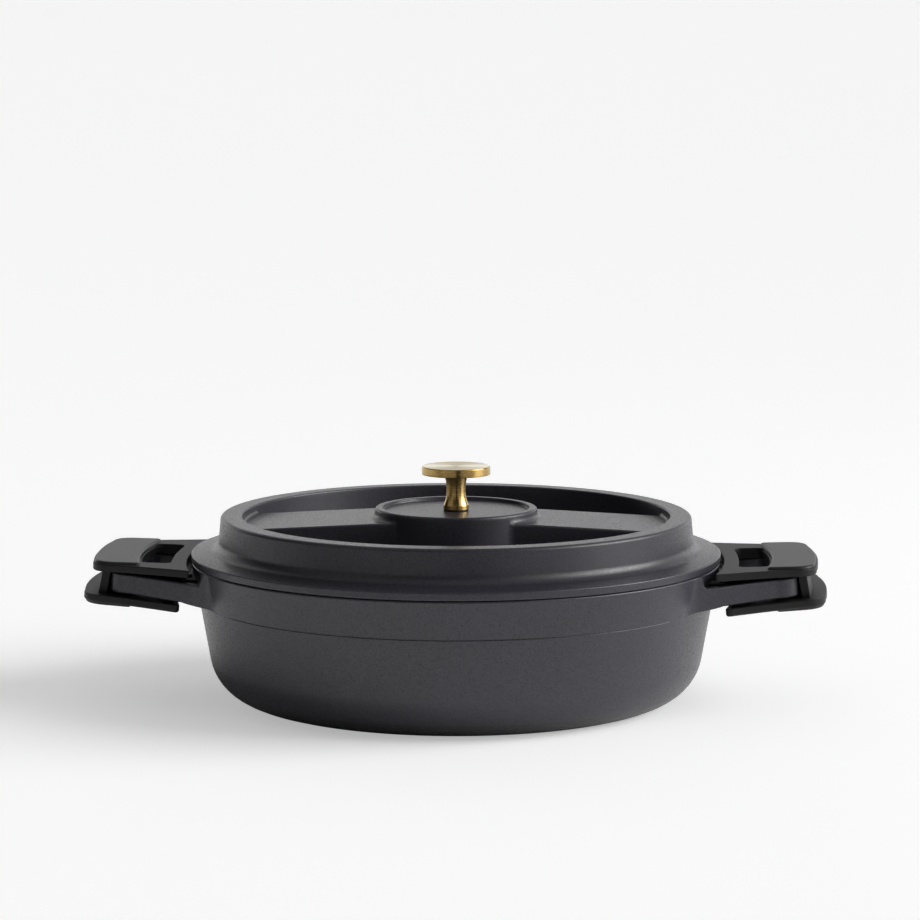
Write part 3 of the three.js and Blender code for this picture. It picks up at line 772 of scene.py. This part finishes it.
def lidPiece():
    wide, narrow, bore = 72, 48, 12  # steps of a quarter turn
    inner, hollow = lid["pedestal"] - lid["rimWidth"], lid["barHalf"] - lid["thick"]
    rows = [circleRow(lid["ringMiddle"], wide)]
    rows += [circleRow(lid["ringInner"] - d, wide) for d in ringSteps]
    rows += [circleRow(lid["pedestal"] + d, narrow) for d in columnSteps]
    rows += [circleRow(inner - d, narrow) for d in recessSteps]
    for d in barSteps:
        y = lid["barHalf"] + d
        rows.append(lineRow(y, math.hypot(junctionCentre()[0], y), lid["ringInner"]))
    rows += [junctionRow(d) for d in barSteps]
    rows += [circleRow(lid["hole"], bore)]
    edge = lid["barHalf"] - lid["barEdge"]
    rows += [[Vector((lid["pedestal"], 0)), Vector((lid["pedestal"], edge))]]
    verts, faces = fourQuarters(*quarterField(rows, lid["hole"], lidTop))

    rows = [circleRow(lid["underEdge"], wide), circleRow(lid["hole"], bore)]
    rows += [circleRow(lid["hollowEnd"] + d, wide) for d in hollowSteps]
    rows += [circleRow(inner + d, narrow) for d in hollowSteps]
    rows += [lineRow(hollow + d, inner - lid["hollowEdge"], lid["hollowEnd"] + hollowSteps[-1])
             for d in hollowSteps]
    rows += [[Vector((lid["pedestal"], 0)), Vector((lid["pedestal"], hollow - lid["hollowEdge"]))]]
    lowVerts, lowFaces = fourQuarters(*quarterField(rows, lid["hole"], lidUnder))
    start = len(verts)
    verts += lowVerts
    faces += [[start + v for v in f][::-1] for f in lowFaces]

    (grooveIn, grooveOut), (roofIn, roofOut, roof) = lid["groove"], lid["grooveRoof"]
    edge, fillet, (lipOut, lipIn) = lid["grooveEdge"], lid["grooveFillet"], lid["lipFillets"]
    profile = softened([
        (lid["ringMiddle"], lid["ringTop"], 0), (lid["ringOuter"], lid["ringTop"], lid["ringEdge"]),
        (lid["ringOuter"] + lid["ringSpread"], lid["footLevel"], lid["ringFoot"]),
        (pan["rim"], lid["flangeBase"] + lid["flangeEdge"], lid["flangeRound"]),
        (pan["rim"], lid["flangeBase"], lid["flangeRound"]),
        (lid["lipOuter"], lid["flangeBase"], lipOut),
        (lid["lipOuter"], lid["lipBase"], lid["lipEdge"]),
        (lid["lipInner"], lid["lipBase"], lid["lipEdge"]),
        (lid["lipInner"], lid["underside"], lipIn),
        (grooveOut, lid["underside"], edge), (roofOut, roof, fillet), (roofIn, roof, fillet),
        (grooveIn, lid["underside"], edge), (lid["underEdge"], lid["underside"], 0)], turnStep=8)
    faces += bridged(turnedRings(profile, 4 * wide, verts))
    top = lid["pedestalTop"] - lid["recess"]
    walls = [(lid["hole"], top), (lid["hole"], top - lid["thick"])]
    faces += bridged(turnedRings(walls, 4 * bore, verts))
    return newPiece("lidCasting", verts, faces, coatingFinish)


lidCasting = lidPiece()
work = bmesh.new()
work.from_mesh(lidCasting.data)
openEdges = sum(1 for e in work.edges if len(e.link_faces) != 2)
print("lid made,", len(work.faces), "faces, open edges", openEdges)
work.free()
finished(lidCasting, sharpDeg=32)
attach(lidCasting, "cover")
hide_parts("lid")


# the knob and its fixing
knob = {"cap": 19.1, "capBase": 124.6, "top": 129.2, "capEdge": 0.5, "foot": 7.1, "footBase": 104.9,
        "collar": 107.3, "waist": 5.3, "neck": 6.8, "curl": 2.3, "bore": 3.2, "boreTop": 117.25,
        "spigot": 4.0, "spigotTop": 126.6, "pocket": 4.3, "pocketTop": 126.9, "capGap": 0.1,
        "gasket": 6.9, "gasketBase": 104.4, "gasketTop": 104.8, "washer": 7.0, "washerBase": 99.0,
        "washerTop": 100.2, "pocketEdge": 0.2, "capBaseEdge": 0.4, "boreEdge": 0.3, "footEdge": 0.35,
        "footStep": 0.01, "ringBoreEdge": 0.1, "gasketEdge": 0.12, "washerEdge": 0.25}


def knobPieces():
    cap = softened([(0, knob["pocketTop"], 0), (knob["pocket"], knob["pocketTop"], 0),
                    (knob["pocket"], knob["capBase"], knob["pocketEdge"]),
                    (knob["cap"], knob["capBase"], knob["capBaseEdge"]),
                    (knob["cap"], knob["top"], knob["capEdge"]), (0, knob["top"], 0)], turnStep=10)
    stemTop = knob["capBase"] - knob["capGap"]
    middle, reach = (knob["collar"] + stemTop) / 2, (stemTop - knob["collar"]) / 2
    stem = softened([(0, knob["boreTop"], 0), (knob["bore"], knob["boreTop"], 0),
                     (knob["bore"], knob["footBase"], knob["boreEdge"]),
                     (knob["foot"], knob["footBase"], knob["footEdge"]),
                     (knob["foot"], knob["collar"] - knob["footStep"], 0)])
    halfSteps = 20
    for k in range(2 * halfSteps + 1):  # waisted, the ends curl out faster than a circle
        t = k / halfSteps - 1
        end = knob["foot"] if t < 0 else knob["neck"]
        radius = knob["waist"] + (end - knob["waist"]) * abs(t) ** knob["curl"]
        stem.append(Vector((radius, middle + reach * t)))
    stem += [Vector((knob["spigot"], stemTop)), Vector((knob["spigot"], knob["spigotTop"])),
             Vector((0, knob["spigotTop"]))]
    gasket, washer = (
        ringSection(knob["bore"], knob[label], knob[label + "Base"], knob[label + "Top"],
                    knob["ringBoreEdge"], knob[label + "Edge"]) for label in ("gasket", "washer"))
    return [(turnedPiece(name, profile, finish, steps), node, slotName)
            for name, profile, finish, node, slotName, steps in (
                ("knobCap", cap, brassFinish, "knob_cap", "brass", 192),
                ("knobStem", stem, brassFinish, "knob_stem", "brass", 128),
                ("knobGasket", gasket + gasket[:1], gasketFinish, "knob_gasket", "silicone", 96),
                ("knobFlatWasher", washer + washer[:1], screwFinish, "knob_flat_washer",
                 "fastener_steel", 96))]


for piece, node, slotName in knobPieces():
    finished(piece, sharpDeg=25)
    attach(piece, "cover")
    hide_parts(node)
print("knob made")


# its fixing: a cap screw with a hexagon socket and a split spring washer
fixing = {"head": 5.4, "headBase": 93.7, "headTop": 97.3, "shank": 2.85, "tip": 116.9, "chamfer": 0.6,
          "socket": 2.4, "socketDepth": 2.0, "washer": 5.4, "washerBore": 3.2, "washerBase": 97.4,
          "washerTop": 98.9, "washerEdge": 0.15, "split": 1.0, "twist": 0.08, "headEdge": 0.2,
          "cutterRun": 1.0, "cutterEdges": (0.1, 0.4)}


def capScrew():
    head, shank, tip, chamfer = (fixing[k] for k in ("head", "shank", "tip", "chamfer"))
    body = softened([(0, fixing["headBase"], 0), (head, fixing["headBase"], chamfer),
                     (head, fixing["headTop"], fixing["headEdge"]),
                     (shank, fixing["headTop"], fixing["headEdge"]),
                     (shank, tip - chamfer, 0), (shank - chamfer, tip, 0), (0, tip, 0)])
    screw = turnedPiece("knobScrew", body, screwFinish, 96)
    hexagon = [Vector((fixing["socket"] * math.cos(a), fixing["socket"] * math.sin(a)))
               for a in (math.pi / 3 * k for k in range(6))]
    low, floor = fixing["headBase"] - fixing["cutterRun"], fixing["headBase"] + fixing["socketDepth"]
    socket = moulding(hexagon, [], low, floor, *fixing["cutterEdges"])
    return joined(screw, [newPiece("socket", *socket, screwFinish)], "DIFFERENCE")


def springWasher():  # a square wire wound once, its ends stand apart
    low, high = fixing["washerBase"] + fixing["twist"], fixing["washerTop"] - fixing["twist"]
    section = ringSection(fixing["washerBore"], fixing["washer"], low, high, fixing["washerEdge"],
                          fixing["washerEdge"], turnStep=30)
    first = math.asin(fixing["split"] / (fixing["washer"] + fixing["washerBore"]))
    verts, rings, steps = [], [], 72
    for k in range(steps + 1):
        a = first + (2 * math.pi - 2 * first) * k / steps
        rise = fixing["twist"] * (2 * k / steps - 1)
        rings.append(list(range(len(verts), len(verts) + len(section))))
        verts += [(p.x * math.cos(a), p.x * math.sin(a), p.y + rise) for p in section]
    return newPiece("knobSpringWasher", verts, bridged(rings) + [rings[0], rings[-1]], screwFinish)


for piece, node in ((capScrew(), "knob_screw"), (springWasher(), "knob_spring_washer")):
    finished(piece, sharpDeg=28)
    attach(piece, "cover")
    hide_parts(node)
print("fixing made")


# the base: a steel disc, dished inside its rim, with the casting pressed through its holes as studs
base = {"radius": 98.0, "thick": 1.2, "rim": 5.0, "rimSlope": 0.3, "dish": 0.25, "spacing": 8.6,
        "field": 88.0, "stud": 2.0, "chamfer": 0.2, "proud": 0.2, "rimEdge": 0.1, "edges": (0.3, 0.2)}


def studField():
    tree = bpy.data.node_groups.new("studField", "GeometryNodeTree")
    sizes = {"Spacing": base["spacing"], "Field": base["field"], "Radius": base["stud"],
             "Chamfer": base["chamfer"], "Level": base["dish"] - base["proud"],
             "Depth": base["thick"] / 2}
    for label in sizes:
        tree.interface.new_socket(name=label, in_out="INPUT", socket_type="NodeSocketFloat")
    tree.interface.new_socket(name="Finish", in_out="INPUT", socket_type="NodeSocketMaterial")
    tree.interface.new_socket(name="Geometry", in_out="OUTPUT", socket_type="NodeSocketGeometry")
    given = addNode(tree, "NodeGroupInput").outputs
    place = addNode(tree, "GeometryNodeInputPosition").outputs[0]
    have = {label: given[label] for label in sizes}
    have["index"] = addNode(tree, "GeometryNodeInputIndex").outputs[0]
    reach = addNode(tree, "ShaderNodeVectorMath", {"operation": "LENGTH"}, {0: place})
    have["reach"] = reach.outputs["Value"]
    for label, operation, a, b in (  # rows a triangle's height apart, every other one shifted by half
            ("across", "MULTIPLY", "Field", 2.0), ("rowGap", "MULTIPLY", "Spacing", 0.75 ** 0.5),
            ("columns", "DIVIDE", "across", "Spacing"), ("columns", "ROUND", "columns", 0.0),
            ("rows", "DIVIDE", "across", "rowGap"), ("rows", "ROUND", "rows", 0.0),
            ("wide", "MULTIPLY", "columns", "Spacing"), ("tall", "MULTIPLY", "rows", "rowGap"),
            ("columns", "ADD", "columns", 1.0), ("rows", "ADD", "rows", 1.0),
            ("row", "MODULO", "index", "rows"), ("odd", "MODULO", "row", 2.0),
            ("half", "MULTIPLY", "Spacing", 0.5), ("shift", "MULTIPLY", "odd", "half"),
            ("outside", "GREATER_THAN", "reach", "Field"), ("face", "SUBTRACT", "Radius", "Chamfer")):
        inputs = {0: have.get(a, a), 1: have.get(b, b)}
        have[label] = addNode(tree, "ShaderNodeMath", {"operation": operation}, inputs).outputs[0]
    grid = addNode(tree, "GeometryNodeMeshGrid", None,
                   {"Size X": have["wide"], "Size Y": have["tall"], "Vertices X": have["columns"],
                    "Vertices Y": have["rows"]})
    move = addNode(tree, "ShaderNodeCombineXYZ", None, {"X": have["shift"], "Z": given["Level"]})
    placed = addNode(tree, "GeometryNodeSetPosition", None,
                     {"Geometry": grid.outputs["Mesh"], "Offset": move.outputs[0]})
    kept = addNode(tree, "GeometryNodeDeleteGeometry", None,
                   {"Geometry": placed.outputs[0], "Selection": have["outside"]})
    stud = addNode(tree, "GeometryNodeMeshCone", None,
                   {"Vertices": 16, "Radius Top": given["Radius"], "Radius Bottom": have["face"],
                    "Depth": given["Depth"]})
    studs = addNode(tree, "GeometryNodeInstanceOnPoints", None,
                    {"Points": kept.outputs[0], "Instance": stud.outputs["Mesh"]})
    real = addNode(tree, "GeometryNodeRealizeInstances", None, {"Geometry": studs.outputs[0]})
    dressed = addNode(tree, "GeometryNodeSetMaterial", None,
                      {"Geometry": real.outputs[0], "Material": given["Finish"]})
    addNode(tree, "NodeGroupOutput", None, {"Geometry": dressed.outputs[0]})
    piece = newObject("baseStuds", bpy.data.meshes.new("baseStuds"))
    field = piece.modifiers.new("studs", "NODES")
    field.node_group = tree
    for item in tree.interface.items_tree:
        if item.in_out == "INPUT":
            field[item.identifier] = studFinish if item.name == "Finish" else sizes[item.name] * mm
    evaluated(piece)
    return piece


def baseDisc():
    inner = base["radius"] - base["rim"]
    profile = softened([(0, base["dish"], 0), (inner, base["dish"], base["rimEdge"]),
                        (inner + base["rimSlope"], 0, base["rimEdge"]),
                        (base["radius"], 0, base["edges"][0]),
                        (base["radius"], base["thick"], base["edges"][1]), (0, base["thick"], 0)])
    return finished(turnedPiece("baseDisc", profile, discFinish), sharpDeg=25)


discPiece, studPiece = baseDisc(), studField()
for piece in (discPiece, studPiece):
    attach(piece, "pan")
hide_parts("base_disc")
print("base made,", len(studPiece.data.polygons), "faces of studs")


# the silicone grips: each part of the moulding is a plate with rounded edges, then they are joined
# weld is how far a part reaches into the one that it grows from
grip = {"thick": 4.2, "reach": 1.8, "bow": 6.8, "root": 58.5, "tip": 46.5, "waist": 1.8,
        "outer": 53.5, "crown": 2.3, "cornerLong": 13.0, "cornerDeep": 14.5, "corner": 1.3,
        "edge": 0.7, "hiddenEdge": 0.2, "weld": 1.6, "upperTiltDeg": 1.6, "upperGap": 0.4,
        "lowerGap": 1.7, "lowerShift": 4.5, "lowerEdge": 1.4, "lowerCorner": 3.0,
        "lowerTopEdge": 0.4, "padRise": 1.4, "padInset": 0.8, "padBow": 4.5, "padEdge": 1.5,
        "padCorner": 3.0, "fingerPadShift": 4.0, "webGap": 0.5, "webEnd": 38.5, "webLean": 0.11,
        "webSetback": 4.8, "webCorner": 0.5, "rib": 4.5, "ribGap": 0.3, "ribSetback": 5.0,
        "ribInset": 9.0, "ribFillet": 1.3, "ribCorner": 1.0, "ribSink": 0.05,
        "upperRibShift": 0.5, "upperRibInset": 14.0, "upperRibWeld": 0.3, "rim": 4.0,
        "rimEdge": 0.4, "lipInset": 7.0, "lipClear": 1.0, "lipDepth": 8.5, "lipThick": 1.2,
        "lipEdge": 0.3}


def jawOutline(reach, bow, root, waist, outer, inset, corner):
    inner = pan["rim"] + reach + inset
    far = pan["rim"] + outer - inset
    side, tip = root - inset, grip["tip"] - inset
    a, b = inner - bow, far - grip["crown"]
    turn = b - grip["cornerLong"]
    shoulder = tip - grip["cornerDeep"]
    mid = ((a + turn) / 2, (side + tip) / 2 - waist)
    path = bends([(a, side), (inner + bow, 0), (a, -side), (mid[0], -mid[1]), (turn, -tip),
                  (b, -tip), (b, -shoulder), (far + grip["crown"], 0), (b, shoulder), (b, tip),
                  (turn, tip), mid, (a, side)], (40, 16, 16, 28, 16, 16))
    return smoothCorners(path, corner)


def jawPlan(shift, corner):
    return jawOutline(grip["reach"] + shift, grip["bow"], grip["root"], grip["waist"],
                      grip["outer"] + shift, 0, corner)


def padPlan(shift, start):
    return jawOutline(slot["reach"] + slot["width"] - grip["padInset"] + start, grip["padBow"],
                      grip["tip"], 0, grip["outer"] + shift, grip["padInset"], grip["padCorner"])


def ribPlan(shift, inset):
    inner = pan["rim"] + grip["reach"] + shift
    a, side = inner - grip["bow"], grip["root"] - inset
    front = bend((a, side), (inner + grip["bow"], 0), (a, -side), 40) + [Vector((a, -side))]
    rear = [p + Vector((grip["rib"], 0)) for p in front[::-1]]
    return smoothCorners(front + rear, grip["ribCorner"])


# a low lip of the moulding over the top of the loop beside the vessel; its dark rubber is painted
# shade, laid where the gap under the jaw is in shadow
def lipPlan():  # follows the wall of the vessel
    half, radius, halfSteps = grip["root"] - grip["lipInset"], pan["rim"] + grip["lipClear"], 20
    ys = [half * (1 - k / halfSteps) for k in range(2 * halfSteps + 1)]
    front = [Vector((math.sqrt(radius ** 2 - y ** 2), y)) for y in ys]
    rear = [p + Vector((grip["lipDepth"], 0)) for p in front[::-1]]
    return smoothCorners(front + rear, grip["ribCorner"])


def webPlan():  # outside as the jaw, inside round the end of the loop, flat ends
    middle, halfSteps = pan["rim"] + loop["corner"], 20
    ys = [grip["webEnd"] * (k / halfSteps - 1) for k in range(2 * halfSteps + 1)]
    path = []
    for outline, gap in ((jawPlan(-grip["webSetback"], grip["corner"]), 0.0),
                         (loopOutline(), grip["webGap"])):
        line = sorted((p for p in outline if p.x > middle), key=lambda p: p.y)
        xs = np.interp(ys, [p.y for p in line], [p.x + gap for p in line])
        path.append([Vector((x, y)) for x, y in zip(xs, ys)])
    return smoothCorners(path[0] + path[1][::-1], grip["webCorner"])


def gripParts():
    top, base = loopLevel + loop["thick"] / 2, loopLevel - loop["thick"] / 2
    upperRise = slope(loop["tiltDeg"]) - slope(grip["upperTiltDeg"])
    upperBase = top + grip["upperGap"] + loop["reach"] * upperRise
    upperTop = upperBase + grip["thick"]
    lowerTop = base - grip["lowerGap"]
    lowerBase = lowerTop - grip["thick"]
    lowerMiddle = (lowerTop + lowerBase) / 2
    windowShift = (lowerMiddle - loopLevel) * slope(loop["tiltDeg"])
    webTop = top + grip["upperGap"] + grip["thick"] / 2
    ribBase = top + grip["ribGap"]
    window = [slotOutline(0)]
    upper, lower = (grip["upperTiltDeg"], upperBase), (loop["tiltDeg"], loopLevel)
    edge, soft, hidden = grip["edge"], grip["padEdge"], grip["hiddenEdge"]
    shift = grip["lowerShift"]
    # plan, holes, base, top, edge at the base and at the top, tilt about a level, finish
    parts = {
        "upperJaw": (jawPlan(0, grip["corner"]), window, upperBase, upperTop, edge, edge,
                     upper, plateFinish),
        "thumbPad": (padPlan(0, 0), [], upperTop - grip["weld"], upperTop + grip["padRise"],
                     hidden, soft, upper, padFinish),
        "lowerJaw": (jawPlan(shift, grip["lowerCorner"]), [slotOutline(0, windowShift)],
                     lowerBase, lowerTop, grip["lowerEdge"], grip["lowerTopEdge"],
                     lower, plateFinish),
        "fingerPad": (padPlan(shift, grip["fingerPadShift"]), [], lowerBase - grip["padRise"],
                      lowerBase + grip["weld"], soft, hidden, lower, padFinish),
        # the lip: dark rubber over the loop's top, painted shade for the shadowed gap under the jaw
        "shadeLip": (lipPlan(), [], ribBase, ribBase + grip["lipThick"],
                     grip["lipEdge"], grip["lipEdge"], lower, plateFinish),
        "upperRib": (ribPlan(grip["upperRibShift"], grip["upperRibInset"]), [],
                     ribBase + grip["ribSink"], upperBase + grip["upperRibWeld"], hidden, hidden,
                     lower, plateFinish),
        "windowRim": (slotOutline(grip["rim"]), window, ribBase, upperBase + grip["weld"],
                      grip["rimEdge"], hidden, lower, plateFinish),
        "lowerRib": (ribPlan(shift + grip["ribSetback"], grip["ribInset"]), [],
                     lowerTop - grip["ribSink"], base - grip["ribGap"], -grip["ribFillet"],
                     grip["ribSink"], lower, plateFinish),
        "web": (webPlan(), [], lowerMiddle, webTop, hidden, hidden, lower, plateFinish)}
    for label, (*sizes, tip, finish) in parts.items():
        verts, faces = moulding(*sizes)
        if label == "web":  # its foot stands further out
            verts = [(x + (webTop - z) * grip["webLean"], y, z) for x, y, z in verts]
        yield label, tipped(verts, *tip, pan["rim"]), faces, finish


def siliconeGrip(name, side):
    made = []
    for label, verts, faces, finish in gripParts():
        placed = [(side * x, side * y, z) for x, y, z in verts]
        made.append(newPiece(label, placed, faces, finish))
    piece = joined(made[0], made[1:])
    piece.name = name
    return finished(piece, sharpDeg=32)


for name, side, body, node in (("gripRight", 1, "right_sleeve", "grip_right"),
                               ("gripLeft", -1, "left_sleeve", "grip_left")):
    piece = siliconeGrip(name, side)
    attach(piece, body)
    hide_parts(node)
print("grips made")


# floor and light
studio = {"paper": "#e7e7e7", "paperGlow": 0.41, "paperFront": -0.62, "paperTurn": 2.0,
          "paperRun": 14.0, "paperRise": 1.3, "paperHalf": 10.0, "paperRows": 24,
          "shade": (0.135, 0.18), "shadeCentre": (-0.035, 0.0, 0.0), "roomTone": 0.93,
          "sky": 0.32, "skyZone": (0.5, 0.85), "lowZone": (0.08, 0.3), "keyPower": 2.9,
          "keyPlace": (1.5, 0.3, 0.95), "keySize": 0.9, "keyAim": (0.0, 0.0, 0.06)}
# cloth round the table: degrees from the viewer's side, cosines where it starts and is full,
# zone of height, strength; the one below 0 is a dark strip in front of the low cloth
panels = ((180, 0.5, 0.87, "mid", 0.77), (180, 0.5, 0.87, "low", 2.2), (90, 0.88, 0.97, "mid", 8.2),
          (60, 0.88, 0.97, "mid", 1.4), (0, 0.5, 0.87, "low", 0.45), (10, 0.985, 0.996, "low", -0.42),
          (86, 0.965, 0.99, "low", 1.0), (-60, 0.8, 0.95, "mid", 0.3))


# one wide pale sheet: it ends in front of the view, rises far behind and glows as if lit from below
def paperSheet():
    run, half, steps = studio["paperRun"], studio["paperHalf"], studio["paperRows"]
    ys = [studio["paperFront"]] + [studio["paperTurn"] + run * k / steps for k in range(steps + 1)]
    rows = [(y, studio["paperRise"] * (max(0.0, y - studio["paperTurn"]) / run) ** 2) for y in ys]
    mesh = bpy.data.meshes.new("paperSheet")
    mesh.from_pydata([(x, y, z) for y, z in rows for x in (-half, half)], [],
                     [(2 * k, 2 * k + 1, 2 * k + 3, 2 * k + 2) for k in range(len(rows) - 1)])
    mesh.shade_smooth()
    material, tree = startMaterial("paperMatte")
    place = addNode(tree, "ShaderNodeTexCoord").outputs["Object"]
    reach = addNode(tree, "ShaderNodeVectorMath", {"operation": "DISTANCE"},
                    {0: place, 1: studio["shadeCentre"]}).outputs["Value"]
    first, last = studio["shade"]  # the paper next to the pan sends no glow up to it
    clear = addNode(tree, "ShaderNodeMapRange", {"interpolation_type": "SMOOTHSTEP"},
                    {"Value": reach, "From Min": first, "From Max": last}).outputs["Result"]
    seen = addNode(tree, "ShaderNodeLightPath").outputs["Is Camera Ray"]  # but looks as the rest
    glow = addNode(tree, "ShaderNodeMath", {"operation": "MAXIMUM"}, {0: clear, 1: seen}).outputs[0]
    glow = addNode(tree, "ShaderNodeMath", {"operation": "MULTIPLY"},
                   {0: glow, 1: studio["paperGlow"]}).outputs[0]
    endMaterial(tree, {"Base Color": linear(studio["paper"]), "Roughness": 0.9, "Metallic": 0.0,
                       "Specular IOR Level": 0.0, "Emission Color": (1, 1, 1, 1),
                       "Emission Strength": glow})
    mesh.materials.append(material)
    sheet = newObject("paperSheet", mesh)


def softLight(name, place, power, size):
    data = bpy.data.lights.new(name, "AREA")
    data.energy = power
    data.shape = "DISK"
    data.size = size
    lamp = newObject(name, data)
    lamp.location = place
    way = Vector(studio["keyAim"]) - Vector(place)
    lamp.rotation_euler = way.to_track_quat("-Z", "Y").to_euler()


# a dim room: lit cloth behind, on the right and low in front, faint on the left and above
def studioWorld():
    world = bpy.data.worlds.new("studioWorld")
    world.use_nodes = True
    tree = world.node_tree
    tree.nodes.clear()
    way = addNode(tree, "ShaderNodeTexCoord").outputs["Generated"]
    level = addNode(tree, "ShaderNodeSeparateXYZ", None, {"Vector": way}).outputs["Z"]
    flat = addNode(tree, "ShaderNodeVectorMath", {"operation": "MULTIPLY"}, {0: way, 1: (1, 1, 0)})
    flat = addNode(tree, "ShaderNodeVectorMath", {"operation": "NORMALIZE"},
                   {0: flat.outputs["Vector"]})
    high, low = (
        addNode(tree, "ShaderNodeMapRange", {"interpolation_type": "SMOOTHSTEP"},
                {"Value": level, "From Min": first, "From Max": last,
                 "To Min": start, "To Max": end}).outputs["Result"]
        for (first, last), start, end in ((studio["skyZone"], 0.0, 1.0),
                                          (studio["lowZone"], 1.0, 0.0)))
    rest = addNode(tree, "ShaderNodeMath", {"operation": "ADD"}, {0: high, 1: low}).outputs[0]
    mid = addNode(tree, "ShaderNodeMath", {"operation": "SUBTRACT"}, {0: 1.0, 1: rest}).outputs[0]
    glow = addNode(tree, "ShaderNodeMath", {"operation": "MULTIPLY"},
                   {0: high, 1: studio["sky"]}).outputs[0]
    for turn, first, full, zone, strength in panels:
        turn = math.radians(turn)
        along = addNode(tree, "ShaderNodeVectorMath", {"operation": "DOT_PRODUCT"},
                        {0: flat.outputs["Vector"], 1: (math.sin(turn), -math.cos(turn), 0)})
        cloth = addNode(tree, "ShaderNodeMapRange", {"interpolation_type": "SMOOTHSTEP"},
                        {"Value": along.outputs["Value"], "From Min": first, "From Max": full,
                         "To Max": strength}).outputs["Result"]
        glow = addNode(tree, "ShaderNodeMath", {"operation": "MULTIPLY_ADD"},
                       {0: cloth, 1: low if zone == "low" else mid, 2: glow}).outputs[0]
    seen = addNode(tree, "ShaderNodeLightPath").outputs["Is Camera Ray"]  # seen directly: plain
    glow = addNode(tree, "ShaderNodeMix", None,
                   {0: seen, 2: glow, 3: studio["roomTone"]}).outputs[0]
    light = addNode(tree, "ShaderNodeBackground", None, {"Strength": glow})
    addNode(tree, "ShaderNodeOutputWorld", None, {"Surface": light.outputs["Background"]})
    bpy.context.scene.world = world


paperSheet()
softLight("keyLight", studio["keyPlace"], studio["keyPower"], studio["keySize"])
studioWorld()
print("studio set")
